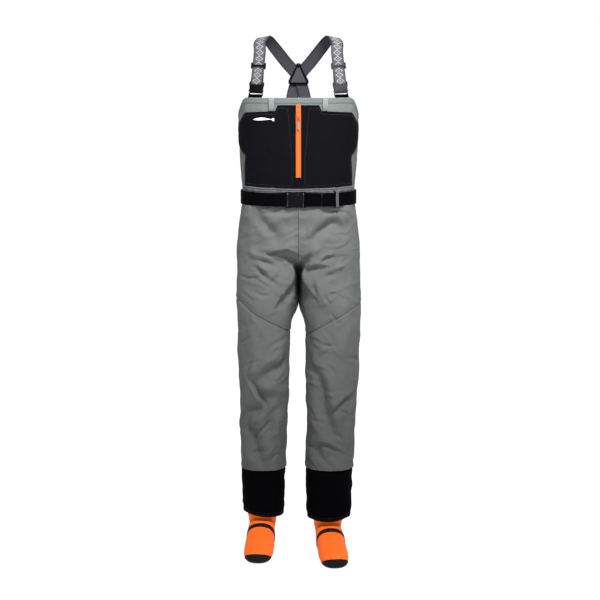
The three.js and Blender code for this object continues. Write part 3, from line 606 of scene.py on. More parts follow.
def plain(name, color, roughness, grain=0.0012, depth=0.00006, specular=0.5):
    """A moulded surface with a fine grain."""
    p = Paint(name, color, roughness, specular=specular)
    grainy = p.noise(grain, 2)
    p.relief(grainy, depth)
    worn = p.noise(0.02, 3)
    p.mix(worn.between(0.45, 0.8) * 0.5, shade(color, 1.25))
    p.roughen(worn, roughness - 0.07, roughness + 0.1)
    return p


SHELL_LIGHT = (0.108, 0.116, 0.1135)
# The band is the shell's cloth made lighter, as painted light falling on the bib's top.
SHELL_BAND_PAINTED_LIGHT = (0.128, 0.146, 0.140)
TRIM = (0.185, 0.205, 0.202)


mats = {
    "shell": shell_cloth_painted_shade("shell", SHELL_LIGHT),
    "leg": shell_cloth_painted_shade("shell_leg", SHELL_LIGHT),
    "band": woven("shell_band_painted_light", SHELL_BAND_PAINTED_LIGHT),
    "thread": plain("thread", (0.055, 0.06, 0.06), 0.7, 0.0008),
    "pale_thread": plain("pale_thread", (0.16, 0.17, 0.17), 0.7, 0.0008),
    "dark_thread": plain("dark_thread", (0.012, 0.012, 0.015), 0.7, 0.0008),
    # The seam cloth is the dark line along the middle seam: painted shade in the seam's groove.
    "seam": woven("seam", (0.040, 0.043, 0.042), thread=0.0009, mottle=0.05),
    "keeper": woven("keeper", (0.075, 0.080, 0.080), thread=0.0012, relief=0.0002, mottle=0.06),
    "trim": woven("trim", TRIM, thread=0.0012, relief=0.0002, mottle=0.06),
    "pocket": woven("pocket", (0.0034, 0.0031, 0.0046), thread=0.0010, roughness=0.8, specular=0.04),
    "piping": woven("piping", (0.030, 0.032, 0.034), thread=0.0008, roughness=0.7),
    "piping_pale": woven("piping_pale", (0.17, 0.18, 0.18), thread=0.0008),
    "piping_grey": woven("piping_grey", (0.10, 0.105, 0.105), thread=0.0008),
    "guard": woven("guard", (0.0009, 0.0008, 0.0014), thread=0.0012, roughness=0.9, relief=0.0001,
                   specular=0.02),
    "hardware": plain("hardware", (0.0022, 0.0022, 0.0027), 0.5, specular=0.06),
    "hardware_grey": plain("hardware_grey", (0.016, 0.0165, 0.018), 0.45, specular=0.25),
    "fill": plain("fill", (0.050, 0.050, 0.058), 0.6, 0.0015, 0.00015),
    "label": plain("label", (0.86, 0.86, 0.86), 0.5),
    "pull": plain("pull", (0.165, 0.165, 0.16), 0.5),
    "pull_cord": plain("pull_cord", (0.38, 0.06, 0.02), 0.6, 0.0006),
    "zip_part": plain("zip_part", (0.66, 0.10, 0.012), 0.4),
}


def webbing_paint(name, color, rib=0.0026, roughness=0.78, specular=0.2):
    """Flat webbing: ribs across and a herringbone of threads."""
    p = Paint(name, color, roughness, specular=specular)
    u, v = p.uv()
    slant = (v + u.op("ABSOLUTE") * 0.6).wave(rib)
    cords = u.wave(0.0022)
    p.mix(slant * 0.45, shade(color, 0.55))
    p.mix(p.noise(0.01, 3).between(0.4, 0.8) * 0.35, shade(color, 1.3))
    p.relief(slant * 0.6 + cords * 0.4, 0.00035)
    return p


def strap_paint():
    """The front straps: mid grey with a lighter lozenge pattern and darker woven edges."""
    half = STRAP_WEBBING / 2000
    p = webbing_paint("strap", (0.068, 0.069, 0.078), rib=0.0018)
    u, v = p.uv()
    reach = u.op("ABSOLUTE")
    run = (v.wave(0.034) - 0.5).op("ABSOLUTE") * 2
    lozenge = reach * (1 / (half * 0.66)) + run
    ring = (lozenge - 0.86).op("ABSOLUTE")
    p.mix((ring * -1 + 0.19).between(0.0, 0.05) * 0.95, (0.25, 0.253, 0.27))
    p.mix(((lozenge * -1) + 0.30).between(0.0, 0.05) * 0.9, (0.22, 0.223, 0.24))
    p.mix(reach.between(half * 0.80, half * 0.86), (0.022, 0.022, 0.027))
    return p


def elastic_paint():
    """The back straps: ribbed charcoal elastic with darker edges."""
    half = STRAP_WEBBING / 2000
    p = webbing_paint("elastic", (0.045, 0.044, 0.055), rib=0.0032)
    u, _ = p.uv()
    reach = u.op("ABSOLUTE")
    p.mix(reach.between(half * 0.78, half * 0.84), (0.016, 0.016, 0.02))
    return p


def sock_paint(name, color, specular=0.2, sheen=0.08):
    """Jersey on neoprene: fine stitches, soft mottling and a soft sheen."""
    p = Paint(name, color, 0.75, specular=specular)
    x, y, z = p.place()
    knit = (z + (x + y).wave(0.0016) * 0.0006).wave(0.0014)
    p.mix(knit * 0.22, shade(color, 0.75))
    p.mix(p.noise(0.03, 4).between(0.4, 0.75) * 0.4, shade(color, 1.15))
    p.relief(knit, 0.00012)
    p.relief(p.noise(0.01, 3), 0.0005, 0.4)
    p.shader.inputs["Sheen Weight"].default_value = sheen
    p.shader.inputs["Sheen Roughness"].default_value = 0.5
    return p


mats["webbing"] = webbing_paint("webbing", (0.0011, 0.0011, 0.0015), specular=0.02)
mats["strap"] = strap_paint()
mats["elastic"] = elastic_paint()
mats["sock"] = sock_paint("sock", (0.86, 0.135, 0.012), specular=0.12, sheen=0.04)
mats["toe"] = sock_paint("sole", (0.0050, 0.0060, 0.0095), specular=0.1, sheen=0.02)
mats["sole_rubber"] = plain("sole_rubber", (0.012, 0.013, 0.015), 0.8, 0.002, 0.0003)
mats["zip_tape"] = woven("zip_tape", (0.66, 0.105, 0.012), thread=0.0010, relief=0.0002, mottle=0.05,
                         specular=0.1)
mats["zip_coil"] = plain("zip_coil", (0.80, 0.19, 0.035), 0.35)
MAT = {key: paint.material for key, paint in mats.items()}

# ------------------------------------------------------------------ bib

BIB_ROWS = 96
BIB_COLUMNS = 340
BIB_FOOT = 1046.0


def bib_row(share):
    """One row of the bib, evenly spaced round from the left side, back first."""
    angle = np.linspace(0, 2 * np.pi, 721)[:-1]
    z = BIB_FOOT + share * (bib_top(angle) - BIB_FOOT)
    line = trunk_point(angle, z)
    closed = np.concatenate([line, line[:1]])
    return spaced(closed, BIB_COLUMNS + 1)[:-1]


def bib_relief(points):
    """Soft folds of the bib. The zip's strip stays flat."""
    x, y, z = np.moveaxis(points, -1, 0)
    angle = np.arctan2(y, x)
    ring = np.stack([np.cos(angle) * 150, np.sin(angle) * 150, z * 0.35], -1)
    rising = smooth((z - BIB_FOOT) / 200)
    height = 2.6 * lattice_noise(ring, 42, 11) * (0.5 + 0.5 * (1 - rising))
    height += 1.3 * lattice_noise(ring, 19, 12) * (1 - 0.6 * rising)
    low = smooth((1110 - z) / 60)
    gathers = np.stack([np.cos(angle) * 160, np.sin(angle) * 160, z * 0.2], -1)
    height += 2.2 * low * lattice_noise(gathers, 9, 13)
    height += 0.5 * lattice_noise(points, 8, 14)
    front = y < 0
    height = np.where(
        front,
        height + fold_height(x, z, [
            ("valley", 3.2, 9, [(-150, 1150), (-141, 1195), (-146, 1240)]),
            ("valley", 3.2, 9, [(150, 1140), (140, 1190), (147, 1245)]),
            ("ridge", 2.2, 8, [(-128, 1072), (-100, 1064), (-60, 1070)]),
            ("ridge", 2.0, 8, [(54, 1068), (96, 1063), (130, 1073)]),
            ("ridge", 1.4, 7, [(-150, 1325), (-147, 1300), (-150, 1270)]),
            ("ridge", 1.4, 7, [(150, 1325), (147, 1300), (150, 1270)]),
        ]),
        height + fold_height(x, z, [
            ("valley", 4.0, 13, [(-90, 1075), (-52, 1130), (-36, 1210)]),
            ("valley", 4.0, 13, [(92, 1080), (58, 1140), (44, 1215)]),
            ("ridge", 3.0, 14, [(-14, 1075), (-18, 1150), (-20, 1240)]),
            ("edge", 2.6, 9, [(-120, 1100), (-40, 1092), (40, 1096), (110, 1104)]),
            ("edge", 1.8, 8, [(-96, 1170), (-20, 1158), (70, 1168)]),
            ("ridge", 1.8, 9, [(-70, 1290), (-60, 1250), (-66, 1200)]),
            ("ridge", 1.8, 9, [(66, 1290), (58, 1250), (70, 1200)]),
        ]),
    )
    hem = smooth((bib_top(angle) - z) / 30)
    zip_strip = np.where(front, smooth((np.abs(x) - 14) / 26), 1)
    return height * (0.25 + 0.75 * hem) * zip_strip


bib_points = np.stack([bib_row(share) for share in np.linspace(0, 1, BIB_ROWS)])
bib_plain = Surface(bib_points, closed=True)
bib_points = bib_points + bib_relief(bib_points)[..., None] * bib_plain.normals
bib = Surface(bib_points, closed=True)


def bib_at(angle, z):
    """A point on the bib's cloth and its normal, by its angle round the trunk and height."""
    angle, z = np.broadcast_arrays(np.asarray(angle, float), np.asarray(z, float))
    share = (z - BIB_FOOT) / (bib_top(angle) - BIB_FOOT)
    dense = np.linspace(0, 2 * np.pi, 721)
    row = share * (BIB_ROWS - 1)
    column = np.zeros(angle.shape)
    turn = np.mod(angle, 2 * np.pi)
    for index in np.ndindex(angle.shape):
        i = int(np.clip(round(row[index]), 0, BIB_ROWS - 1))
        column[index] = np.interp(turn[index], dense, COLUMN_AT[i])
    return bib.at(row, column)


def column_table():
    """For each row of the bib, the column at each of 721 angles."""
    angle = np.linspace(0, 2 * np.pi, 721)
    table = []
    for share in np.linspace(0, 1, BIB_ROWS):
        z = BIB_FOOT + share * (bib_top(angle) - BIB_FOOT)
        line = trunk_point(angle, z)
        along = np.concatenate([[0], np.cumsum(np.linalg.norm(np.diff(line, axis=0), axis=1))])
        table.append(along / along[-1] * BIB_COLUMNS)
    return table


COLUMN_AT = column_table()


BAND_FOOT = 1255  # the lighter band across the bib's top, painted light from above: its height and half its angle
BAND_REACH = 1.45


def make_bib():
    """The bib as one sheet, with a lighter band across its top, which is painted light from above."""
    whole = grid_wall("bib", bib.points, bib.normals, True, 1.1, MAT["shell"])
    whole.data.materials.append(MAT["band"])
    centre = np.array([p.center[:] for p in whole.data.polygons]) * 1000
    angle = np.arctan2(centre[:, 1], centre[:, 0])
    z = centre[:, 2] + SHOULDER_HEIGHT
    band = (z > BAND_FOOT) & (np.abs(angle + math.pi / 2) < BAND_REACH)
    whole.data.polygons.foreach_set("material_index", band.astype(int).tolist())
    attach(whole, "shell")
    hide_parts("bib_front", "bib_back")
    return whole


def make_hem():
    """A folded hem along the bib's top edge, with two rows of stitches."""
    angles = np.linspace(0, 2 * np.pi, 340, endpoint=False)
    section = [(-13, 0.5), (-12.5, 1.2), (-6, 1.1), (-1, 1.6), (1.6, 1.4), (2.6, 0.2), (2.2, -1.4),
               (0.6, -2.4), (-6, -2.5), (-12.5, -2.6), (-13, -1.6)]
    rings = []
    for up, out in section:
        z = bib_top(angles) + np.minimum(up, 0)
        points, normals = bib_at(angles, z)
        waver = 0.35 * lattice_noise(points, 9, 21)
        rings.append(points + (out + waver[..., None] * (out > 0)) * normals + (0, 0, max(up, 0)))
    rings = np.array(rings)
    faces = []
    n = len(angles)
    k = len(section)
    for i in range(k):
        for j in range(n):
            a, b = i * n + j, i * n + (j + 1) % n
            c, d = ((i + 1) % k) * n + (j + 1) % n, ((i + 1) % k) * n + j
            faces.append([a, b, c, d])
    lengths = np.concatenate([[0], np.cumsum(np.linalg.norm(np.diff(rings[2], axis=0), axis=1))]) / 1000
    lengths = np.append(lengths, lengths[-1] + 0.003)
    steps = [math.hypot(b[0] - a[0], b[1] - a[1]) for a, b in zip(section, section[1:])]
    widths = np.cumsum([0, *steps]) / 1000
    widths = np.append(widths, widths[-1] + 0.001)
    uv = [[(lengths[j], widths[i]), (lengths[j + 1], widths[i]), (lengths[j + 1], widths[i + 1]),
           (lengths[j], widths[i + 1])] for i in range(k) for j in range(n)]
    # The hem takes the band's lighter cloth, painted light from above.
    hem = make_object("top_hem_cloth", rings.reshape(-1, 3), faces, MAT["band"], uv)
    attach(hem, "shell")
    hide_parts("top_hem")
    around = np.linspace(0, 2 * np.pi, 400)
    for index, up in enumerate((-10.5, -2.5)):
        points, normals = bib_at(around, bib_top(around) + up)
        row = stitches(f"hem_stitches_{index}", points + 1.2 * normals, normals, MAT["thread"])
        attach(row, "shell")


make_bib()
make_hem()

# ------------------------------------------------------------------ chest pocket and zip

POCKET_TOP = [(1.4, 1315), (10.9, 1315), (13.8, 1298), (53.4, 1294), (77, 1257)]
POCKET_SIDE = [(1085, 66), (1150, 62), (1172, 60), (1205, 77), (1257, 77)]
POCKET_BOTTOM = [(1.4, 1081), (66, 1086)]
ZIP_EDGE = 7.6
ZIP_BOTTOM = 1107.0
ZIP_LENGTH = 209.0
ZIP_LEAN = math.atan(BIB_SLOPE)
TAPE_HALF = 7.0
SLIDER_TOP = ZIP_LENGTH - 22.5
PULL_PIVOT = SLIDER_TOP - 6.6


def line_value(points, at):
    keys, values = zip(*points)
    return np.interp(at, keys, values)


def pocket_place(side, u, v):
    """Angle and height on the bib: u in the outline's degrees, v from its bottom to its top."""
    low = line_value(POCKET_BOTTOM, u)
    z = low + v * (line_value(POCKET_TOP, u) - low)
    turn = -front_angle(ZIP_EDGE, z) - (u - 1.4) * (line_value(POCKET_SIDE, z) - 1.4) / 75.6 * DEGREE
    return (-turn if side == "left" else math.pi + turn), z


def pocket_edge(side, inset):
    """A line just inside the pocket's edge, as points and normals."""
    du, dv = inset * 0.42, inset / 210
    us = np.linspace(1.4 + du, 77 - du, 60)
    vs = np.linspace(dv, 1 - dv, 60)
    path = [(u, dv) for u in us] + [(us[-1], v) for v in vs[1:]]
    path += [(u, 1 - dv) for u in us[::-1][1:]] + [(us[0], v) for v in vs[::-1][1:]]
    u, v = np.array(path).T
    return bib_at(*pocket_place(side, u, v))


def make_pocket(side):
    """The two black panels of the chest pocket, beside the zip."""
    corners = [key for key, _ in POCKET_TOP[1:-1]]
    us = np.unique(np.concatenate([np.linspace(1.4, 77, 66), corners]))
    vs = np.linspace(0, 1, 76)
    u, v = np.meshgrid(us, vs)
    points, normals = bib_at(*pocket_place(side, u, v))
    if side == "right":
        points, normals = points[:, ::-1], normals[:, ::-1]
        u = u[:, ::-1]
    edge = np.minimum(np.minimum(u - 1.4, 77 - u) * 2.4, np.minimum(v, 1 - v) * 210)
    piping = 0.9 * np.exp(-(((edge - 1.0) / 2.0) ** 2)) - 0.5 * np.exp(-(((edge - 5.5) / 1.6) ** 2))
    pillow = 1.0 * smooth((edge - 6) / 30)
    soft = pillow * (0.8 + lattice_noise(points, 34, 31) + 0.5 * lattice_noise(points, 15, 32))
    out = (2.0 + piping + soft)[..., None]
    outer = points + out * normals
    inner = points + 1.0 * normals
    uv = grid_uv(points, False)
    rows, columns = points.shape[:2]
    faces = grid_faces(rows, columns, False)
    flat = uv.reshape(-1, 2)
    panel = wall(f"{side}_pocket", outer, inner, faces, MAT["pocket"], flat[faces], 60)
    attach(panel, "shell")
    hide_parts(f"{side}_pocket_panel")
    line, out_ = pocket_edge(side, 7.5)
    row = stitches(f"{side}_pocket_stitches", line + 2.0 * out_, out_, MAT["piping"], width=0.8)
    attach(row, "shell")


def make_pocket_foot():
    """The strip that joins the two pocket panels below the zip."""
    xs = np.linspace(-ZIP_EDGE - 1.5, ZIP_EDGE + 1.5, 12)
    zs = np.linspace(1081, 1113, 14)
    x, z = np.meshgrid(xs, zs)
    points, normals = bib_at(front_angle(x, z), z)
    strip = grid_wall("pocket_foot", points, normals, False, 0.8, MAT["pocket"], out=1.9)
    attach(strip, "shell")


def make_piping(name, heights, out, radius, material):
    """A piped line across the front of the bib. heights gives its height at each x."""
    xs = np.linspace(-154, 154, 150)
    z = heights(xs)
    points, normals = bib_at(front_angle(xs, z), z)
    line = make_object(name, *tube(points + out * normals, radius, 8), material)
    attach(line, "shell")


def zip_place(points):
    """From the zip's own frame, with z up it and -y out of it."""
    x, y, z = np.moveaxis(np.asarray(points, float), -1, 0)
    c, s = math.cos(ZIP_LEAN), math.sin(ZIP_LEAN)
    return np.stack([x, -front_at(ZIP_BOTTOM) + y * c - z * s, ZIP_BOTTOM + y * s + z * c], -1)


# One tooth of the zip's coil, as its corners: x, half its height there, y.
ZIP_TOOTH = ((0.15, 0.4, -2.35), (1.75, 0.55, -2.1), (1.75, 0.55, -1.2), (0.15, 0.4, -1.2))


def make_zip():
    """The zip: its cloth tape, its coil and two rows of stitches."""
    top = ZIP_LENGTH - 20
    us = np.linspace(-TAPE_HALF, TAPE_HALF, 25)
    vs = np.linspace(0, 1, 90)
    u, v = np.meshgrid(us, vs)
    low = -0.5 + 3.5 * u / TAPE_HALF
    z = low + v * (top - low)
    ripple = 0.16 * lattice_noise(np.stack([u * 3, 0 * u, z], -1), 9, 41)
    crown = -1.7 + 0.5 * (np.abs(u) / TAPE_HALF) ** 4 + ripple
    outer = zip_place(np.stack([u, crown, z], -1))
    inner = zip_place(np.stack([u, crown + 1.1, z], -1))
    faces = grid_faces(*u.shape, False)
    flat = (np.stack([u, z], -1) / 1000).reshape(-1, 2)
    tape = wall("zip_tape_cloth", outer, inner, faces, MAT["zip_tape"], flat[faces])
    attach(tape, "shell")
    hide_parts("zip_tape")
    vertices, quads = [], []
    pitch = 1.5
    for index in range(int((top - 8) / pitch)):
        z0 = 6 + index * pitch
        for sign in (-1, 1):
            z1 = z0 + (pitch / 2 if sign > 0 else 0)
            first = len(vertices)
            for x, half, y in ZIP_TOOTH:
                vertices += [(sign * x, y, z1 - half), (sign * x, y, z1 + half)]
            f = [[0, 1, 3, 2], [2, 3, 5, 4], [4, 5, 7, 6], [6, 7, 1, 0], [0, 2, 4, 6], [7, 5, 3, 1]]
            f = f if sign > 0 else [q[::-1] for q in f]
            quads += [[first + k for k in q] for q in f]
    coil = make_object("zip_coil", zip_place(vertices), quads, MAT["zip_coil"])
    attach(coil, "shell")
    for sign in (-1, 1):
        path = np.array([(sign * 5.6, -1.9, z) for z in np.linspace(4, top - 4, 80)])
        out = zip_place(path + (0, -1, 0)) - zip_place(path)
        hand = "left" if sign > 0 else "right"
        row = stitches(f"zip_stitches_{hand}", zip_place(path), out, MAT["zip_coil"],
                       pitch=3.2, length=2.1, width=0.6, high=0.3)
        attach(row, "shell")


def tube(path, radius, sides=10, closed=False):
    """Vertices and faces of a round tube along a path."""
    path = np.asarray(path, float)
    n = len(path)
    if closed:
        along = np.roll(path, -1, axis=0) - np.roll(path, 1, axis=0)
    else:
        along = np.gradient(path, axis=0)
    along /= np.linalg.norm(along, axis=1, keepdims=True)
    side = np.cross(along[0], (0.3, 0.9, 0.2))
    side /= np.linalg.norm(side)
    vertices = []
    for p, t in zip(path, along):
        side = side - t * np.dot(side, t)
        side /= np.linalg.norm(side)
        other = np.cross(t, side)
        for k in range(sides):
            a = 2 * math.pi * k / sides
            vertices.append(p + radius * (math.cos(a) * side + math.sin(a) * other))
    faces = []
    for i in range(n if closed else n - 1):
        a, b = i * sides, ((i + 1) % n) * sides
        faces += [[a + k, a + (k + 1) % sides, b + (k + 1) % sides, b + k] for k in range(sides)]
    if not closed:
        faces += [list(range(sides))[::-1], list(range((n - 1) * sides, n * sides))]
    return vertices, faces


def make_pull():
    """The pull: a wire ring through the slider's bridge, a cord loop and a moulded grip."""
    pivot = PULL_PIVOT
    turn = np.linspace(0, 2 * math.pi, 40, endpoint=False)
    ring = np.stack([2.5 * rounded(np.cos(turn), 3), np.full(40, -6.2),
                     pivot - 4.4 + 4.4 * rounded(np.sin(turn), 3)], -1)
    wire = make_object("pull_ring", *placed(tube(ring, 0.62, closed=True), zip_place), MAT["zip_part"])
    loop = [(s * (1.1 + 0.5 * math.sin(math.pi * t)), -6.3 - 0.5 * s, pivot - 8.2 - 12 * t)
            for s, ts in ((-1, np.linspace(1, 0, 12)), (1, np.linspace(0, 1, 12))) for t in ts]
    cord = make_object("pull_cord_loop", *placed(tube(loop, 1.0), zip_place), MAT["pull_cord"])
    sections = [(-17, 1.6, 1.3), (-18.5, 2.4, 1.7), (-22, 2.9, 1.9), (-30, 3.2, 1.9), (-36, 3.5, 1.9),
                (-38.6, 3.3, 1.7), (-40, 2.4, 1.1)]
    heights = np.linspace(-40, -17, 70)
    keys = [s[0] for s in sections][::-1]
    half = np.interp(heights, keys, [s[1] for s in sections][::-1])
    deep = np.interp(heights, keys, [s[2] for s in sections][::-1])
    ribbed = smooth((-21 - heights) / 3) * smooth((heights + 38) / 2)
    ribs = 0.22 * np.cos((heights + 28) * 2 * math.pi / 3.0) * ribbed
    angle = np.linspace(0, 2 * math.pi, 24, endpoint=False)
    grip = np.stack([
        (half[:, None] + 0 * ribs[:, None]) * rounded(np.cos(angle), 3),
        -6.4 + (deep + ribs)[:, None] * rounded(np.sin(angle), 3),
        np.broadcast_to(pivot + heights[:, None], (70, 24)),
    ], -1)
    faces = grid_faces(70, 24, True).tolist()
    faces += [list(range(24))[::-1], list(range(69 * 24, 70 * 24))]
    tab = make_object("pull_grip", zip_place(grip.reshape(-1, 3)), faces, MAT["pull"], crease=60)
    for piece in (wire, cord, tab):
        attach(piece, "zip_pull")
    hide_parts("zip_pull")


def placed(shape, place):
    vertices, faces = shape
    return place(np.asarray(vertices)), faces


def make_mark():
    """A plain pale leaping-fish mark on the wearer's right of the chest panel."""
    s = np.linspace(0, 1, 60)
    body = 3.7 * np.sin(math.pi * np.clip(s / 0.84, 0, 1) ** 0.8)
    tail = 4.2 * smooth((s - 0.82) / 0.18) * (s > 0.82)
    half = np.maximum(np.maximum(body, tail), 0.5)
    arch = 2.0 * np.sin(math.pi * s)
    points = []
    for lift in (-1, 0, 1):
        x = -124 + 56 * s
        z = 1275 + arch + lift * half
        p, n = bib_at(front_angle(x, z), z)
        points.append(p + 3.9 * n)
    grid = np.array(points)
    mark = grid_wall("chest_mark", grid, grid_normals(grid, False), False, 0.35, MAT["label"])
    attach(mark, "shell")


for side_name in SIDES:
    make_pocket(side_name)
make_zip()
make_pull()
make_mark()
make_pocket_foot()
make_piping("pocket_piping", lambda x: 1079.5 + 5.0 * (x / 150) ** 2, 1.0, 1.5, MAT["piping_pale"])
make_piping("belt_piping", lambda x: 1072.5 + 2.0 * (x / 150) ** 2, 1.0, 1.2, MAT["piping_grey"])

# ------------------------------------------------------------------ trousers

OUTER_COLUMNS = 136
INNER_COLUMNS = 38
LEG_SPLIT = 140 * DEGREE
TROUSER_TOP = 1049.0
ROW_STEP = 3.4
BASE_FOOT = 244.0
LEG_GAP = 0.02  # half the gap where the thighs touch

FRONT_FOLDS = [
    # Drags from the belt and the long overhanging edge across the crotch.
    ("ridge", 3.4, 14, [(-27, 1018), (-72, 983), (-113, 950)]),
    ("valley", 3.0, 14, [(-120, 1012), (-84, 968), (-52, 925)]),
    ("ridge", 2.4, 12, [(60, 1016), (38, 975), (22, 940)]),
    ("valley", 2.0, 5, [(110, 1018), (134, 985), (150, 948)]),
    ("valley", 1.8, 5, [(124, 1020), (146, 990), (160, 962)]),
    ("edge", 6.5, 11, [(-96, 893), (-59, 904), (-27, 907), (4, 890)]),
    ("valley", 4.0, 9, [(-43, 897), (-20, 876), (6, 853)]),
    ("valley", 3.4, 8, [(38, 905), (20, 876), (6, 853)]),
    ("ridge", 2.6, 8, [(-143, 902), (-116, 891)]),
    ("valley", 3.8, 8, [(-113, 877), (-75, 861)]),
    ("valley", 3.2, 7, [(-121, 853), (-89, 828)]),
    ("edge", 3.0, 8, [(-84, 809), (-62, 839)]),
    ("valley", 2.6, 7, [(-32, 784), (-65, 727)]),
    ("valley", 2.6, 7, [(-19, 798), (-49, 727)]),
    ("valley", 4.2, 11, [(38, 929), (65, 961), (100, 983), (130, 956)]),
    ("ridge", 3.0, 9, [(30, 896), (62, 915)]),
    ("edge", 4.6, 9, [(14, 852), (49, 862), (82, 858)]),
    ("edge", 3.4, 8, [(62, 874), (81, 889), (106, 889)]),
    ("ridge", 2.8, 8, [(98, 850), (130, 864)]),
    ("valley", 2.6, 7, [(79, 831), (103, 836)]),
    ("valley", 2.8, 8, [(38, 820), (49, 765)]),
    # Below the knee seams.
    ("valley", 4.4, 10, [(-142, 505), (-87, 544), (-54, 566), (-22, 588)]),
    ("ridge", 2.8, 10, [(-131, 520), (-74, 500), (-27, 486)]),
    ("edge", 6.0, 9, [(-93, 443), (-131, 502), (-142, 522)]),
    ("valley", 3.6, 9, [(-93, 446), (-130, 436), (-162, 421)]),
    ("valley", 3.2, 8, [(-49, 446), (-79, 421), (-91, 353)]),
    ("valley", 4.2, 10, [(-159, 421), (-135, 368), (-116, 297), (-99, 269)]),
    ("ridge", 2.4, 7, [(-149, 303), (-124, 275)]),
    ("ridge", 2.0, 8, [(-52, 671), (-50, 620), (-52, 577)]),
    ("ridge", 2.2, 9, [(-140, 690), (-128, 640), (-132, 590)]),
    ("valley", 4.6, 11, [(28, 569), (58, 533), (74, 443), (102, 368), (127, 311)]),
    ("ridge", 3.0, 12, [(52, 585), (88, 520), (100, 440), (126, 370)]),
    ("edge", 3.8, 9, [(85, 431), (113, 457), (165, 494)]),
    ("edge", 3.8, 9, [(44, 331), (77, 342), (127, 311)]),
    ("valley", 2.8, 7, [(47, 328), (66, 297)]),
    ("ridge", 2.2, 8, [(66, 622), (77, 608)]),
    ("ridge", 2.0, 9, [(138, 680), (128, 630), (136, 580)]),
    ("valley", 2.4, 9, [(150, 420), (132, 390), (140, 350)]),
]
# Hollows of the cloth's front: x, z, half width, half height, depth.
HOLLOWS = [(-42, 872, 46, 27, 11), (26, 858, 34, 22, 8), (84, 958, 26, 20, 5), (-100, 470, 34, 26, 6)]
FRONT_FOLDS = [(kind, high, wide * (1.55 if path[0][1] < 700 else 1.0), path)
               for kind, high, wide, path in FRONT_FOLDS]
BACK_FOLDS = [
    ("edge", 6.0, 12, [(-120, 862), (-70, 880), (-24, 872), (0, 850)]),
    ("edge", 6.0, 12, [(0, 850), (26, 874), (74, 884), (122, 866)]),
    ("valley", 4.0, 12, [(-60, 1010), (-92, 960), (-128, 935)]),
    ("valley", 4.0, 12, [(58, 1012), (90, 958), (130, 940)]),
    ("ridge", 3.2, 13, [(-30, 1005), (-40, 950), (-66, 905)]),
    ("ridge", 3.2, 13, [(34, 1005), (42, 948), (70, 900)]),
    ("valley", 4.0, 9, [(-20, 820), (-64, 800), (-110, 812)]),
    ("valley", 4.0, 9, [(22, 824), (66, 806), (108, 818)]),
    ("ridge", 3.0, 10, [(-130, 760), (-90, 735), (-50, 742)]),
    ("ridge", 3.0, 10, [(128, 764), (88, 740), (48, 748)]),
    # Crushed cloth behind the knees.
    ("edge", 5.0, 9, [(-154, 548), (-110, 530), (-54, 544)]),
    ("edge", 4.6, 9, [(-56, 500), (-96, 486), (-150, 504)]),
    ("valley", 3.8, 8, [(-150, 466), (-104, 452), (-60, 470)]),
    ("edge", 5.0, 9, [(150, 552), (106, 536), (52, 550)]),
    ("edge", 4.6, 9, [(54, 506), (98, 492), (148, 510)]),
    ("valley", 3.8, 8, [(148, 470), (102, 456), (58, 474)]),
    ("valley", 3.6, 11, [(-72, 640), (-86, 600), (-118, 572)]),
    ("valley", 3.6, 11, [(74, 644), (90, 604), (120, 576)]),
    ("edge", 4.0, 9, [(-150, 352), (-104, 330), (-62, 346)]),
    ("edge", 4.0, 9, [(52, 344), (94, 330), (146, 350)]),
    ("ridge", 3.0, 10, [(-140, 420), (-118, 380), (-124, 310)]),
    ("ridge", 3.0, 10, [(138, 424), (112, 384), (118, 314)]),
]
FRONT_FOLDS += small_folds(71, 46, (-165, 860, 165, 1020), 20)
FRONT_FOLDS += small_folds(72, 34, (-165, 700, 165, 850), -30)
FRONT_FOLDS += small_folds(73, 40, (-165, 270, -35, 660), 40)
FRONT_FOLDS += small_folds(74, 40, (30, 270, 165, 660), -35)
BACK_FOLDS += small_folds(75, 60, (-165, 700, 165, 1020), 0)
BACK_FOLDS += small_folds(76, 50, (-165, 270, -35, 660), 15)
BACK_FOLDS += small_folds(77, 50, (30, 270, 165, 660), -15)


def split_share(ring, z):
    """How far a row below the crotch has parted into legs: soon at the front, lower down at the back."""
    inner = smooth((74 - ring[:, 0]) / 50)
    hang = 62 * smooth((ring[:, 1] + 42) / 60) * inner
    reach = 112 - 64 * smooth((-30 - ring[:, 1]) / 40) * inner
    return smooth((CROTCH - hang - z) / reach)[:, None]


def side_ring(side, z):
    """One closed row of a trouser side, from the front's middle outwards round to the back, and
    then along the inner side to the front again."""
    k = SIDES[side]
    turn = np.linspace(-math.pi / 2, math.pi / 2, 400)
    outer = trunk_point(turn, max(z, CROTCH))
    outer[:, 2] = z
    cleft_front = 20 * smooth((935 - z) / 100)
    cleft_back = 24 * smooth((990 - z) / 150)
    near = np.exp(-((outer[:, 0] / 30) ** 2))
    outer[:, 1] += near * np.where(outer[:, 1] < 0, cleft_front, -cleft_back)
    slit = np.exp(-((outer[:, 0] / 6.5) ** 4)) * smooth((868 - z) / 22) * (outer[:, 1] < 0)
    outer[:, 1] += 34 * slit
    outer = spaced(outer, OUTER_COLUMNS)
    inner = outer[-1] + (outer[0] - outer[-1]) * np.linspace(0, 1, INNER_COLUMNS + 2)[1:-1, None]
    if z < CROTCH:
        out_turn = np.linspace(-LEG_SPLIT, LEG_SPLIT, 400)
        in_turn = np.linspace(LEG_SPLIT, 2 * math.pi - LEG_SPLIT, 400)
        mirror = np.array([k, 1, 1])
        z_leg = min(z, 905)
        if k < 0:
            out_turn, in_turn = math.pi - out_turn, math.pi - in_turn
        leg_out = spaced(leg_point(side, out_turn, z_leg) * mirror, OUTER_COLUMNS)
        leg_in = spaced(leg_point(side, in_turn, z_leg) * mirror, INNER_COLUMNS + 2)[1:-1]
        outer = outer + (leg_out - outer) * split_share(leg_out, z)
        inner = inner + (leg_in - inner) * split_share(leg_in, z)
    ring = np.concatenate([outer, inner])
    ring[:, 2] = z
    press = 0.5 * bump_at(z, 750, 24) * smooth(1 - ring[:, 0] / 46)
    ring[:, 0] *= 1 - press
    ring[:, 0] *= k
    return ring[::-1] if k < 0 else ring


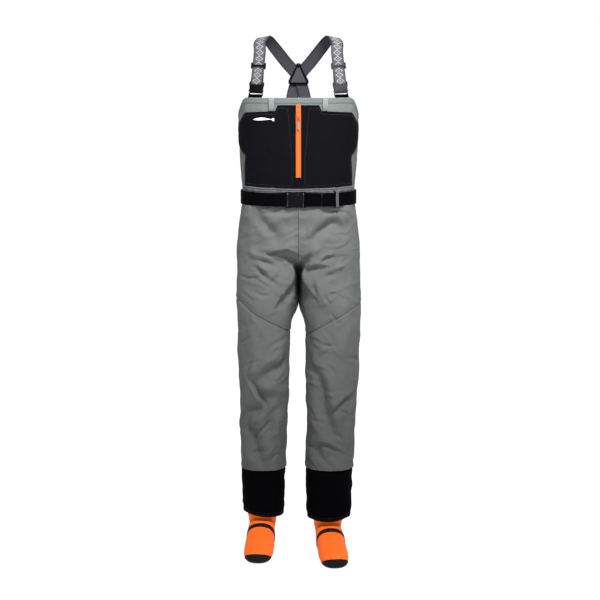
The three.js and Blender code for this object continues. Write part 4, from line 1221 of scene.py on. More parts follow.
def trouser_relief(points, normals):
    """Height of the trousers' cloth over its plain form, the same for both sides at the middle."""
    x, _, z = np.moveaxis(points, -1, 0)
    forward = smooth((0.35 - normals[..., 1]) / 0.7)
    height = 2.5 * fold_height(x, z, FRONT_FOLDS) * smooth((-normals[..., 1] - 0.02) / 0.4)
    height += 1.8 * fold_height(x, z, BACK_FOLDS) * smooth((normals[..., 1] - 0.02) / 0.4)
    height += 2.6 * lattice_noise(points * (1, 1, 0.6), 46, 51)
    height += 1.7 * lattice_noise(points * (1, 1, 0.7) + 70, 21, 52)
    for cx, cz, width, tall, depth in HOLLOWS:
        height -= depth * np.exp(-(((x - cx) / width) ** 2) - ((z - cz) / tall) ** 2) * (normals[..., 1] < 0)
    height += 0.5 * lattice_noise(points, 9, 53)
    belly = smooth((-normals[..., 1] - 0.25) / 0.6)
    below = smooth((z - 985) / 45)
    gathers = 4.0 * lattice_noise(points * (1, 1, 0.16), 11, 54)
    height += below * gathers * (0.55 + 0.45 * (1 - forward)) * (0.55 + 0.45 * belly)
    height += 7.0 * belly * smooth((z - 970) / 38) * smooth((1042 - z) / 16)
    sideways = 1 - np.abs(normals[..., 1])
    height += 2.2 * sideways * lattice_noise(points * (0.4, 0.4, 1), 30, 55) * smooth((900 - z) / 200)
    return height


def trouser_surface(side):
    """One side of the trousers with its folds, from the hem to the belt."""
    heights = np.arange(BASE_FOOT, TROUSER_TOP + ROW_STEP, ROW_STEP)
    points = np.stack([side_ring(side, z) for z in heights])
    surface = Surface(points, closed=True)
    normals = surface.normals
    columns = points.shape[1]
    middle = [0, OUTER_COLUMNS - 1] if side == "left" else [columns - 1, columns - OUTER_COLUMNS]
    above = heights >= CROTCH - 1
    for column, way in zip(middle, (-1, 1)):
        normals[above, column] = (0, way, 0)
    height = trouser_relief(points, normals)
    seam = 0.9 * np.exp(-((points[..., 0] / 4.5) ** 2)) * (heights[:, None] > CROTCH)
    moved = points + (height + seam)[..., None] * normals
    for column in middle:
        moved[above, column, 0] = 0
    inner_wall = inner_columns(side, columns)
    moved[np.ix_(above, inner_wall)] = points[np.ix_(above, inner_wall)]
    limit = moved[..., 0] * SIDES[side] < LEG_GAP
    moved[..., 0] = np.where(limit & ~above[:, None], LEG_GAP * SIDES[side], moved[..., 0])
    out = Surface(moved, closed=True)
    for column, way in zip(middle, (-1, 1)):
        n = out.normals[above, column]
        n[:, 0] = 0
        n[:, 1] = np.where(np.abs(n[:, 1]) < 0.2, way, n[:, 1])
        out.normals[above, column] = n / np.linalg.norm(n, axis=1, keepdims=True)
    return out


def inner_columns(side, columns):
    if side == "left":
        return np.arange(OUTER_COLUMNS, columns)
    return np.arange(0, columns - OUTER_COLUMNS)


def knee_seam(side, x):
    """Height of the knee-panel seam at each x."""
    if side == "right":
        c = np.clip((x + 94) / 79, -1, 1)
        return 707 - 42 * c + 12 * np.maximum(0, -c) ** 3
    return 703 + 45 * np.clip((x - 94) / 79, -1, 1)


def rows_at(surface, z):
    """The surface at heights z, one for each row and column."""
    row = (z - BASE_FOOT) / ROW_STEP
    column = np.broadcast_to(np.arange(surface.points.shape[1], dtype=float), row.shape)
    return surface.at(row, column)


def make_trousers(side):
    """One side of the trousers, cut at the knee seam."""
    surface = trouser_surface(side)
    columns = surface.points.shape[1]
    k = SIDES[side]
    xs = surface.points[int((700 - BASE_FOOT) / ROW_STEP), :, 0]
    seam = knee_seam(side, xs)

    # From the belt line to the knee-panel seam.
    below = np.linspace(0, 1, 42)[:-1, None]
    lower = seam + (CROTCH - seam) * below
    upper = np.linspace(CROTCH, TROUSER_TOP, 66)[:, None] + 0 * seam
    z = np.concatenate([lower, upper])
    points, normals = rows_at(surface, z)
    crotch_row = len(lower)
    keep = np.ones((len(z) - 1, columns), bool)
    wall_faces = np.zeros(columns, bool)
    inner = inner_columns(side, columns)
    wall_faces[inner] = True
    wall_faces[(inner[0] - 1) % columns] = True
    keep[crotch_row:, wall_faces] = False
    lift = 1.0 * np.exp(-(((z - seam) / 7) ** 2))
    top = grid_wall(f"{side}_trouser_top", points + lift[..., None] * normals, normals, True, 1.2,
                    MAT["shell"], keep=keep)
    tuple(to_row((0, 4, CROTCH)))
    tuple(to_row((k * 77, 4, 701)))
    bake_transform(top)

    # From the knee-panel seam to the hem over the gravel guard.
    below = np.linspace(0, 1, 140)[:, None]
    z = HEM + (seam + 9 - HEM) * below
    points, normals = rows_at(surface, z)
    tuck = -1.4 * smooth((z - seam + 9) / 6) + 0.8 * (1 - smooth((z - HEM - 11) / 2))
    leg = grid_wall(f"{side}_trouser_leg", points + tuck[..., None] * normals, normals, True, 1.2, MAT["leg"])
    bend = dict(start=tuple(to_row((k * 99, 2, 620))), end=tuple(to_row((k * 99, 2, 364))))
    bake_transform(leg)
    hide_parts(f"{side}_upper_leg", f"{side}_lower_leg")

    # Stitches along the seams.
    for index, up in enumerate((2.5, 8.0)):
        line, out = rows_at(surface, (seam + up)[None])
        line = np.concatenate([line[0], line[0][:1]])
        out = np.concatenate([out[0], out[0][:1]])
        row = stitches(f"{side}_knee_stitches_{index}", line + 1.0 * out, out, MAT["thread"])
        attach(row, f"{side}_upper_leg")
    for index, up in enumerate((3.0, 10.0)):
        line, out = rows_at(surface, np.full((1, columns), HEM + up))
        line = np.concatenate([line[0], line[0][:1]])
        out = np.concatenate([out[0], out[0][:1]])
        row = stitches(f"{side}_hem_stitches_{index}", line + 0.8 * out, out, MAT["thread"])
        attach(row, f"{side}_lower_leg")
    return surface


def make_centre_stitches(surface):
    """Two rows of stitches beside the middle seam, front and back, and along it a dark line of painted shade.
    """
    heights = np.arange(CROTCH + 14, TROUSER_TOP - 22, 3.0)
    for name, column in (("front", 2.0), ("back", OUTER_COLUMNS - 3.0)):
        row = (heights - BASE_FOOT) / ROW_STEP
        points, normals = surface.at(row, np.full(row.shape, column))
        middle, out = surface.at(row, np.full(row.shape, 0.0 if name == "front" else OUTER_COLUMNS - 1.0))
        # A dark tube along the seam: painted shade in the seam's groove.
        seam = make_object(f"centre_{name}_seam", *tube(middle + 0.1 * out, 0.9, 6), MAT["seam"])
        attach(seam, "shell")
        for hand in (-1, 1):
            mirror = np.array([hand, 1, 1])
            line = stitches(f"centre_{name}_stitches_{'left' if hand > 0 else 'right'}",
                            points * mirror, normals * mirror, MAT["thread"])
            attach(line, "shell")


TROUSERS = {side: make_trousers(side) for side in SIDES}
make_centre_stitches(TROUSERS["left"])
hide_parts("trouser_seat")

# ------------------------------------------------------------------ gravel guards

GUARD_TAPER = 5.0
# How far each guard's hem hangs above its lowest height: all round, across, and at both edges.
HEM_RAISE = {"right": (2.0, -5.0, 3.0), "left": (2.0, 2.0, 6.0)}


def guard_surface(side):
    """A gravel guard's outer face, gathered at both ends."""
    rows, columns = 60, 150
    bottom = GUARD_BOTTOM[side]
    turn = np.linspace(0, 2 * math.pi, columns, endpoint=False)
    heights = np.linspace(bottom, GUARD_TOP - 2, rows)
    share = (GUARD_TOP - heights) / (GUARD_TOP - bottom)
    points = []
    for z, s in zip(heights, share):
        drawn_in = 1.3 + GUARD_TAPER * s + 1.4 * smooth((z - 250) / 5)
        ring = leg_point(side, np.linspace(0, 2 * math.pi, 600), max(z, HEM), -drawn_in)
        ring[:, 2] = z
        points.append(spaced(ring, columns + 1)[:-1])
    points = np.array(points)
    middle = points[..., 0].mean()
    away = np.clip((points[..., 0] - middle) / 48, -1, 1)
    raised = HEM_RAISE[side][0] + HEM_RAISE[side][1] * away + HEM_RAISE[side][2] * away ** 2
    points[..., 2] += raised * (share[:, None] ** 1.5)
    normals = grid_normals(points, True)
    z = heights[:, None]
    up = z - bottom
    around = np.stack([np.cos(turn) * 60 + 0 * z, np.sin(turn) * 60 + 0 * z, 0.12 * z + 0 * turn], -1)
    gathers = lattice_noise(around, 6.5, 61 + SIDES[side])
    height = 1.7 * gathers * np.exp(-up / 34) * smooth(up / 6)
    height += 1.0 * gathers * smooth((up - 110) / 50)
    lying = np.stack([np.cos(turn) * 26 + 0 * z, np.sin(turn) * 26 + 0 * z, z + 0 * turn], -1)
    height += 2.4 * lattice_noise(lying, 22, 63 + SIDES[side]) * smooth(up / 24)
    height += 0.9 * lattice_noise(points, 10, 65)
    height += 3.2 * bump_at(up, 30, 22) + 1.6 * bump_at(up, 92, 26)
    # The elastic hem draws in and is ribbed by its gathers.
    hem = smooth((13 - up) / 2)
    height = height * (1 - hem) + hem * (0.9 * gathers + 0.7 - 1.6 * smooth((up - 10) / 3))
    height -= 1.8 * bump_at(up, 13.5, 1.6)
    height = np.minimum(height, 2.4 + 4 * smooth((150 - z + 60) / 40))
    return Surface(points + height[..., None] * normals, True)


def make_guard(side):
    """A gravel guard with the stitches of its elastic hem."""
    surface = guard_surface(side)
    guard = grid_wall(f"{side}_guard_cloth", surface.points, surface.normals, True, 1.5, MAT["guard"])
    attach(guard, f"{side}_lower_leg")
    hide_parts(f"{side}_gravel_guard", f"{side}_guard_hem", f"{side}_inner_cuff")
    columns = surface.points.shape[1]
    every = np.linspace(0, columns, columns * 2)
    for index, up in enumerate((4.0, 10.5)):
        row = up / (GUARD_TOP - 2 - GUARD_BOTTOM[side]) * 59
        line, out = surface.at(np.full(every.shape, row), every)
        rows = stitches(f"{side}_guard_stitches_{index}", line, out, MAT["dark_thread"], high=0.4)
        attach(rows, f"{side}_lower_leg")


# ------------------------------------------------------------------ neoprene socks

# From the heel forwards: distance, half width, bottom, top.
foot_form = profile([
    [0, 15, 16, 44], [8, 26, 3, 62], [28, 33, -2, 82], [60, 37, -2, 98], [95, 40, -2, 96],
    [130, 41, -2, 78], [170, 42, -2, 61], [210, 42, -2, 48], [238, 37, -1, 40], [254, 26, 3, 31],
    [262, 13, 9, 24],
])
ankle_form = profile([
    [40, 34, -44, 40], [80, 41, -52, 46], [110, 44, -56, 47], [160, 46, -58, 49], [235, 52, -59, 55],
])
FOOT = {
    "right": dict(x=-104, heel=66, z=15, splay=-3 * DEGREE),
    "left": dict(x=82, heel=66, z=0, splay=5.5 * DEGREE),
}
FOOT_LENGTH = 262
TOE_SEAM = 208
TOE_LEAN = (0, 1, 1.64)  # across the toe cap's seam
TAPE_LEAN = 86 * DEGREE
SOCK_TOP = 232
SOLE = 5
VOXEL = 0.0026


def foot_place(side, points):
    place = FOOT[side]
    c, s = math.cos(place["splay"]), math.sin(place["splay"])
    x, y, z = np.moveaxis(np.asarray(points, float), -1, 0)
    return np.stack([place["x"] + c * x - s * y, place["heel"] + s * x + c * y, z + place["z"]], -1)


def loft_faces(rows, columns):
    faces = grid_faces(rows, columns, True).tolist()
    return faces + [list(range(columns))[::-1], list(range((rows - 1) * columns, rows * columns))]


def remeshed(shapes, voxel, rounds):
    """Several closed shapes as one smooth mesh: vertices and quads."""
    bm = bmesh.new()
    for vertices, faces in shapes:
        made = [bm.verts.new(Vector(v) / 1000) for v in vertices]
        for face in faces:
            bm.faces.new([made[i] for i in face])
    bmesh.ops.recalc_face_normals(bm, faces=bm.faces)
    mesh = bpy.data.meshes.new("sock_draft")
    bm.to_mesh(mesh)
    bm.free()
    obj = bpy.data.objects.new("sock_draft", mesh)
    bpy.context.scene.collection.objects.link(obj)
    modifier = obj.modifiers.new("remesh", "REMESH")
    modifier.mode = "VOXEL"
    modifier.voxel_size = voxel
    smoother = obj.modifiers.new("smooth", "SMOOTH")
    smoother.factor = 0.5
    smoother.iterations = rounds
    done = obj.evaluated_get(bpy.context.evaluated_depsgraph_get())
    result = done.to_mesh()
    vertices = np.array([v.co[:] for v in result.vertices]) * 1000
    faces = [list(p.vertices) for p in result.polygons]
    done.to_mesh_clear()
    bpy.data.objects.remove(obj)
    bpy.data.meshes.remove(mesh)
    return vertices, faces


def sock_draft():
    """The sock in its own frame, heel at the origin and toes towards -Y."""
    turn = np.linspace(0, 2 * math.pi, 64, endpoint=False)
    distance = FOOT_LENGTH * (0.5 - 0.5 * np.cos(np.linspace(0.02, math.pi - 0.02, 90)))
    half, bottom, top = foot_form(distance)
    foot = np.stack([
        half[:, None] * rounded(np.cos(turn), 2.5),
        np.broadcast_to(-distance[:, None], (90, 64)),
        ((top + bottom) / 2)[:, None] + ((top - bottom) / 2)[:, None] * rounded(np.sin(turn), 2.5),
    ], -1)
    heights = np.linspace(45, SOCK_TOP, 60)
    half, y, depth = ankle_form(heights)
    ankle = np.stack([
        half[:, None] * np.cos(turn),
        y[:, None] + depth[:, None] * np.sin(turn),
        np.broadcast_to(heights[:, None], (60, 64)),
    ], -1)
    vertices, faces = remeshed(
        [(foot.reshape(-1, 3), loft_faces(90, 64)), (ankle.reshape(-1, 3), loft_faces(60, 64))], VOXEL, 8,
    )
    return vertices, faces


def mesh_normals(vertices, faces):
    normals = np.zeros(vertices.shape)
    for count in (3, 4):
        f = np.array([face for face in faces if len(face) == count])
        if not len(f):
            continue
        if count == 4:
            n = np.cross(vertices[f[:, 2]] - vertices[f[:, 0]], vertices[f[:, 3]] - vertices[f[:, 1]])
        else:
            n = np.cross(vertices[f[:, 1]] - vertices[f[:, 0]], vertices[f[:, 2]] - vertices[f[:, 0]])
        for k in range(count):
            np.add.at(normals, f[:, k], n)
    return normals / np.maximum(np.linalg.norm(normals, axis=1, keepdims=True), 1e-9)


def trimmed(vertices, faces, planes):
    """The part of a mesh on the inner side of each plane (point, outward normal)."""
    bm = bmesh.new()
    made = [bm.verts.new(v) for v in vertices]
    for face in faces:
        bm.faces.new([made[i] for i in face])
    for point, normal in planes:
        every = bm.verts[:] + bm.edges[:] + bm.faces[:]
        bmesh.ops.bisect_plane(bm, geom=every, plane_co=point, plane_no=normal, clear_outer=True, dist=1e-4)
    bmesh.ops.triangulate(bm, faces=bm.faces)
    bm.verts.index_update()
    out = np.array([v.co[:] for v in bm.verts])
    kept = [[v.index for v in f.verts] for f in bm.faces]
    bm.free()
    return out, kept


def patch(name, draft, planes, low, high, material, place):
    """A sheet that lies on part of a mesh, from `low` to `high` above it."""
    vertices, faces = trimmed(*draft, planes)
    normals = nearest_normals(vertices)
    faces = np.array(faces)
    over = place(vertices + high * normals)
    return wall(name, over, place(vertices + low * normals), faces, material, crease=60)


SOCK_VERTICES, SOCK_FACES = sock_draft()
SOCK_NORMALS = mesh_normals(SOCK_VERTICES, SOCK_FACES)


def nearest_normals(vertices):
    """Outward directions of a sock's form at other points, from its nearest vertices."""
    tree = KDTree(len(SOCK_VERTICES))
    for index, vertex in enumerate(SOCK_VERTICES):
        tree.insert(vertex, index)
    tree.balance()
    out = []
    for vertex in vertices:
        found = tree.find_n(vertex, 4)
        weights = np.array([1 / (item[2] + 0.05) for item in found])
        n = (SOCK_NORMALS[[item[1] for item in found]] * weights[:, None]).sum(axis=0)
        out.append(n / np.linalg.norm(n))
    return np.array(out)


def sock_wrinkles(vertices, side):
    """Soft creases of the neoprene round the ankle and across the instep."""
    _, y, z = vertices.T
    seed = 81 + SIDES[side]
    ankle = smooth((z - 55) / 40) * smooth((y + 150) / 60)
    height = 1.5 * lattice_noise(vertices * (0.5, 0.5, 1.6), 17, seed) * ankle
    height += 0.7 * lattice_noise(vertices, 26, seed + 2)
    height += 0.3 * lattice_noise(vertices, 8, seed + 4)
    return height * smooth((z - 2) / 10)


def make_sock(side):
    """A sock with its toe cap, sole and instep tape."""
    top = SOCK_TOP - FOOT[side]["z"]
    height = sock_wrinkles(SOCK_VERTICES, side)
    vertices = SOCK_VERTICES + height[:, None] * SOCK_NORMALS
    flat = np.clip(vertices[:, 2], 0, None)
    vertices[:, 2] = flat
    draft = (vertices, SOCK_FACES)

    def place(points):
        return foot_place(side, points)

    body, faces = trimmed(*draft, [((0, 0, top), (0, 0, 1))])
    normals = nearest_normals(body)
    inner = place(body - 4.0 * normals)
    sock = wall(f"{side}_sock", place(body), inner, np.array(faces), MAT["sock"], crease=60)
    rise = FOOT[side]["z"]
    x = FOOT[side]["x"]
    tuple(to_row((x, 25, 140 + rise)))
    tuple(to_row((x, -5, 70 + rise)))
    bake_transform(sock)
    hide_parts(f"{side}_sock_leg", f"{side}_sock_foot")

    toe_planes = [((0, -TOE_SEAM, 0), TOE_LEAN), ((0, 0, SOLE - 1), (0, 0, -1))]
    toe = patch(f"{side}_toe_cloth", draft, toe_planes,
                0.05, 0.9, MAT["toe"], place)
    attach(toe, f"{side}_foot")
    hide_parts(f"{side}_toe_cap")
    sole = patch(f"{side}_sole_patch", draft, [((0, 0, SOLE + 1.5), (0, 0, 1))], 0.05, 1.1,
                 MAT["sole_rubber"], place)
    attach(sole, f"{side}_foot")
    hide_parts(f"{side}_sock_sole")
    lean = Vector((0, math.sin(TAPE_LEAN), math.cos(TAPE_LEAN)))
    middle = Vector((0, -128, 79))
    band = patch(f"{side}_instep_tape", draft, [
        (tuple(middle + 7.0 * lean), tuple(lean)),
        (tuple(middle - 7.0 * lean), tuple(-lean)),
        ((0, -60, 0), (0, 1, 0)),
        ((0, -160, 0), (0, -1, 0)),
        ((0, 0, 30), (0, 0, -1)),
    ], 0.05, 1.3, MAT["toe"], place)
    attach(band, f"{side}_foot")
    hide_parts(f"{side}_instep_band")


for side_name in SIDES:
    make_guard(side_name)
    make_sock(side_name)

# ------------------------------------------------------------------ flat webbing

def frame_along(path, outs):
    """Unit directions along a path, across it and out of it."""
    along = np.gradient(path, axis=0)
    along /= np.linalg.norm(along, axis=1, keepdims=True)
    across = np.cross(along, outs)
    across /= np.linalg.norm(across, axis=1, keepdims=True)
    return along, across, np.cross(across, along)


def ribbon(name, path, outs, width, thick, material, ripple=0.0, seed=1):
    """Webbing along a path: rounded edges, a slightly crowned face and closed ends."""
    path = np.asarray(path, float)
    outs = np.asarray(outs, float)
    _, across, out = frame_along(path, outs)
    face = np.linspace(-1, 1, 13)
    crown = thick / 2 * (1 - 0.45 * np.abs(face) ** 10)
    a = np.concatenate([face, face[::-1]]) * width / 2
    b = np.concatenate([crown, -crown[::-1]])
    n, k = len(path), len(a)
    waver = ripple * lattice_noise(path * 1.0, 14, seed)
    points = path[:, None] + a[:, None] * across[:, None] + b[:, None] * out[:, None]
    points = points + (waver[:, None] * (a / width * 2) ** 2)[..., None] * out[:, None]
    length = np.concatenate([[0], np.cumsum(np.linalg.norm(np.diff(path, axis=0), axis=1))])
    faces, uv = [], []
    for i in range(n - 1):
        for j in range(k):
            m = (j + 1) % k
            faces.append([i * k + j, i * k + m, (i + 1) * k + m, (i + 1) * k + j])
            uv += [(a[j], length[i]), (a[m], length[i]), (a[m], length[i + 1]), (a[j], length[i + 1])]
    for start, order in ((0, range(k)), ((n - 1) * k, range(k))):
        ring = [start + j for j in order]
        where = length[0] if start == 0 else length[-1]
        ring = ring if start == 0 else ring[::-1]
        faces.append(ring)
        uv += [(a[(i - start)], where) for i in ring]
    obj = make_object(name, points.reshape(-1, 3), faces, material, np.array(uv) / 1000, crease=55)
    bm = bmesh.new()
    bm.from_mesh(obj.data)
    bmesh.ops.recalc_face_normals(bm, faces=bm.faces)
    bm.to_mesh(obj.data)
    bm.free()
    return obj


def route(points, outs, step=3.0):
    """A smooth path through 3-D points with the outward direction at each."""
    both = np.concatenate([np.asarray(points, float), np.asarray(outs, float)], axis=1)
    ends = np.concatenate([[2 * both[0] - both[1]], both, [2 * both[-1] - both[-2]]])
    knots = np.concatenate([[0], np.cumsum(np.sqrt(np.linalg.norm(np.diff(ends[:, :3], axis=0), axis=1)))])
    out = []
    for i in range(1, len(ends) - 2):
        p = ends[i - 1 : i + 3]
        k = knots[i - 1 : i + 3]
        count = max(2, int(np.linalg.norm(p[2, :3] - p[1, :3]) / step))
        for t in np.linspace(k[1], k[2], count, endpoint=False):
            def lerp(a, b, ka, kb):
                return ((kb - t) * a + (t - ka) * b) / (kb - ka)
            a1, a2, a3 = (lerp(p[j], p[j + 1], k[j], k[j + 1]) for j in range(3))
            b1, b2 = lerp(a1, a2, k[0], k[2]), lerp(a2, a3, k[1], k[3])
            out.append(lerp(b1, b2, k[1], k[2]))
    out.append(both[-1])
    out = np.array(out)
    return out[:, :3], out[:, 3:]


def flat_stitches(name, origin, across, along, out, half_width, length, material, body,
                  cross=True):
    """A sewn box with a cross in it, on a flat piece."""
    def at(a, l):
        return origin + a * across + l * along
    w, h = half_width, length
    lines = [[at(-w, 0), at(w, 0)], [at(-w, h), at(w, h)], [at(-w, 0), at(-w, h)], [at(w, 0), at(w, h)]]
    if cross:
        lines += [[at(-w, 0), at(w, h)], [at(w, 0), at(-w, h)]]
    for index, line in enumerate(lines):
        path = np.linspace(line[0], line[1], 12)
        row = stitches(f"{name}_{index}", path, np.tile(out, (12, 1)), material, pitch=3.2, length=2.3)
        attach(row, body)


# ------------------------------------------------------------------ belt

BELT_FLAT = 66
BELT_OUT = -119.0
BELT_LIFT = 4.5
LOOP_CLEAR = 2.5
CURVE_FROM = 32 * DEGREE
BELT_SHARE = 1 + BELT_LIFT / float(trunk(BELT_HEIGHT)[0])
LEFT_END = float(front_angle(BELT_FLAT / BELT_SHARE, BELT_HEIGHT))
RIGHT_END = math.pi - LEFT_END


def belt_path(from_angle, to_angle, shift, flat_y, count):
    """The middle of the belt's thickness: flat beside the buckle and round the waist elsewhere."""
    angles = np.linspace(from_angle, to_angle, count)
    p = trunk_point(angles, np.full(count, BELT_HEIGHT), BELT_LIFT + shift + WEBBING_THICK / 2)
    near = np.minimum(np.abs(angles - LEFT_END), np.abs(angles - RIGHT_END))
    share = 1 - smooth(near / CURVE_FROM)
    p[:, 1] += (flat_y - WEBBING_THICK / 2 - p[:, 1]) * share
    p[:, 2] = BELT_HEIGHT
    along = np.gradient(p, axis=0)
    outs = np.cross(along, (0, 0, 1))
    return p, outs / np.linalg.norm(outs, axis=1, keepdims=True)


def bar_loop(start, length, clear):
    """Two plies from a buckle's bar, in the buckle's own (y, z): front ply, round the bar, back ply.
    The plies close up towards their far end."""
    way = math.copysign(1, length)
    radius = clear + WEBBING_THICK / 2
    far = np.linspace(1, 0, 14)
    together = WEBBING_THICK / 2 + 0.15
    gap = together + (radius - together) * (1 - smooth((far - 0.15) / 0.7))
    front = np.stack([-gap, start + far * length], -1)
    turn = np.linspace(math.pi, 2 * math.pi, 12)[1:-1]
    bend = np.stack([radius * np.cos(turn), start + way * radius * np.sin(turn)], -1)
    back = np.stack([gap[::-1], start + far[::-1] * length], -1)
    path = np.concatenate([front, bend, back])
    outs = np.concatenate([
        np.tile([-1.0, 0.0], (14, 1)),
        np.stack([np.cos(turn), way * np.sin(turn)], -1),
        np.tile([1.0, 0.0], (14, 1)),
    ])
    return path, outs


def in_frame(rotation, origin, points, direction=False):
    """Points of a turned and moved frame, in the object's own."""
    out = np.asarray(points, float) @ rotation.T
    return out if direction else out + origin


def loop_piece(name, rotation, origin, start, length, width, material, clear=LOOP_CLEAR):
    """Webbing doubled round a bar, in a buckle's own frame."""
    path, outs = bar_loop(start, length, clear)
    p3 = np.stack([0 * path[:, 0], path[:, 0], path[:, 1]], -1)
    o3 = np.stack([0 * outs[:, 0], outs[:, 0], outs[:, 1]], -1)
    return ribbon(name, in_frame(rotation, origin, p3), in_frame(rotation, origin, o3, True), width,
                  WEBBING_THICK, material)


def turned(x=0.0, y=0.0, z=0.0):
    """The rotation Rz Ry Rx."""
    return np.array((Matrix.Rotation(z, 3, "Z") @ Matrix.Rotation(y, 3, "Y") @ Matrix.Rotation(x, 3, "X")))


def make_belt():
    """The belt: its strip, both ends at the buckle and the free tail."""
    back_ply = BELT_OUT + LOOP_CLEAR + WEBBING_THICK
    path, outs = belt_path(LEFT_END, RIGHT_END, 0, back_ply, 260)
    strip = ribbon("belt_strip", path, outs, BELT_WEBBING, WEBBING_THICK, MAT["webbing"], 0.5, 5)
    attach(strip, "shell")
    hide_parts("belt_webbing")
    rotation = turned(y=-math.pi / 2)
    origin = np.array([0, BELT_OUT, BELT_HEIGHT])
    female = loop_piece("belt_female_end", rotation, origin, 36.4, BELT_FLAT + 2 - 36.4, BELT_WEBBING,
                        MAT["webbing"])
    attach(female, "shell")
    male = loop_piece("belt_male_end", rotation, origin, -19.2, -(BELT_FLAT - 0.4 - 19.2), BELT_WEBBING,
                      MAT["webbing"])
    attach(male, "shell")
    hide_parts("belt_end")
    tuple(to_row((65.6, BELT_OUT, BELT_HEIGHT)))
    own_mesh(male)
    tail_end = float(front_angle(122, BELT_HEIGHT))
    front_ply = BELT_OUT - LOOP_CLEAR + 1.2
    path, outs = belt_path(LEFT_END, tail_end, WEBBING_THICK + 0.5, front_ply, 60)
    tail = ribbon("belt_tail_strip", path, outs, BELT_WEBBING, WEBBING_THICK, MAT["webbing"], 0.5, 6)
    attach(tail, "shell")
    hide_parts("belt_tail")


KEEPER_ANGLE = {"left": float(front_angle(101, BELT_HEIGHT)), "right": 152 * DEGREE}
KEEPER_LIFT = {"left": 20.6, "right": 9.6}


def make_belt_loop(side):
    """A narrow keeper over the belt, sewn down above and below it."""
    angle = KEEPER_ANGLE[side]
    heights = np.linspace(-27, 27, 44)
    lift = 1.6 + (KEEPER_LIFT[side] - 1.6) * smooth((27 - np.abs(heights)) / 7)
    base = trunk_point(np.full(44, angle), BELT_HEIGHT + heights)
    ahead = trunk_point(np.array([angle + 0.01, angle - 0.01]), np.full(2, BELT_HEIGHT))
    out = np.cross(ahead[0] - ahead[1], (0, 0, 1))
    out /= np.linalg.norm(out)
    path = base + lift[:, None] * out
    loop = ribbon(f"{side}_belt_keeper", path, np.tile(out, (44, 1)), 8, 1.2, MAT["keeper"])
    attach(loop, "shell")
    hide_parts(f"{side}_belt_loop")


def make_bib_loop(side):
    """A pale loop over the bib's top edge, folded to the inside."""
    x = SIDES[side] * 75
    heights = np.concatenate([np.linspace(1299, 1334, 26), [1335.6, 1336.3, 1335.6],
                              np.linspace(1333, 1312, 12)])
    out_by = np.concatenate([1.4 + 4.6 * np.sin(np.linspace(0, math.pi * 0.93, 26)) ** 0.7 + 1.2 *
                             np.linspace(0, 1, 26), [2.4, 0.6, -1.2], np.full(12, -3.4)])
    ref = np.minimum(heights, BIB_TOP)
    points, normals = bib_at(front_angle(x, ref), ref)
    points = points + out_by[:, None] * normals
    points[:, 2] = heights
    path = np.stack([np.convolve(np.pad(points[:, k], 2, mode="edge"), np.ones(5) / 5, "valid")
                     for k in range(3)], -1)
    along = np.gradient(path, axis=0)
    across = np.cross(normals[0], (0, 0, 1))
    outs = np.cross(across, along)
    if np.dot(outs[10], normals[10]) < 0:
        outs = -outs
    loop = ribbon(f"{side}_tool_loop", path, outs, 15, 1.3, MAT["trim"])
    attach(loop, "shell")
    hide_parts(f"{side}_bib_loop")
    across /= np.linalg.norm(across)
    flat_stitches(f"{side}_tool_loop_stitches", path[2] + 0.6 * normals[2], across, np.array([0, 0, 1.0]),
                  normals[2], 5.4, 4.5, MAT["pale_thread"], "shell", cross=False)


make_belt()
for side_name in SIDES:
    make_belt_loop(side_name)
    make_bib_loop(side_name)

# ------------------------------------------------------------------ suspenders

STRAP_FOOT = (119, -87, 1350)
STRAP_LEAN = -10 * DEGREE
STRAP_ROLL = 2.5 * DEGREE
STRAP_YAW = 18 * DEGREE
STRAP_END = 57.0
STRAP_BEND = 116.0
FEMALE_BEND = 24.8  # the strap fills the slot below the bar
MALE_BAR = -10.4
# The shoulder's crown and the elastic's way down the back, each with its outward direction.
CROWN_ROUTE = [
    ((109, -56, 1485), (0.2, -0.72, 0.66)),
    ((104, -36, 1497), (0.2, -0.42, 0.88)),
    ((100, -14, 1503), (0.2, -0.1, 0.97)),
]
BACK_ROUTE = [
    ((99.2, -12.6, 1503), (0.2, -0.1, 0.97)),
    ((95, 14, 1503), (0.18, 0.25, 0.95)),
    ((84, 42, 1493), (0.1, 0.6, 0.8)),
    ((65, 66, 1469), (0.04, 0.85, 0.5)),
    ((36, 86, 1432), (0, 0.95, 0.3)),
    ((4, 98, 1394), (0, 0.98, 0.16)),
    ((-12, 102, 1356), (0, 1, 0.05)),
    ((-20.5, 103, 1318), (0, 1, 0)),
    ((-25, 104, 1284), (0, 1, 0)),
]


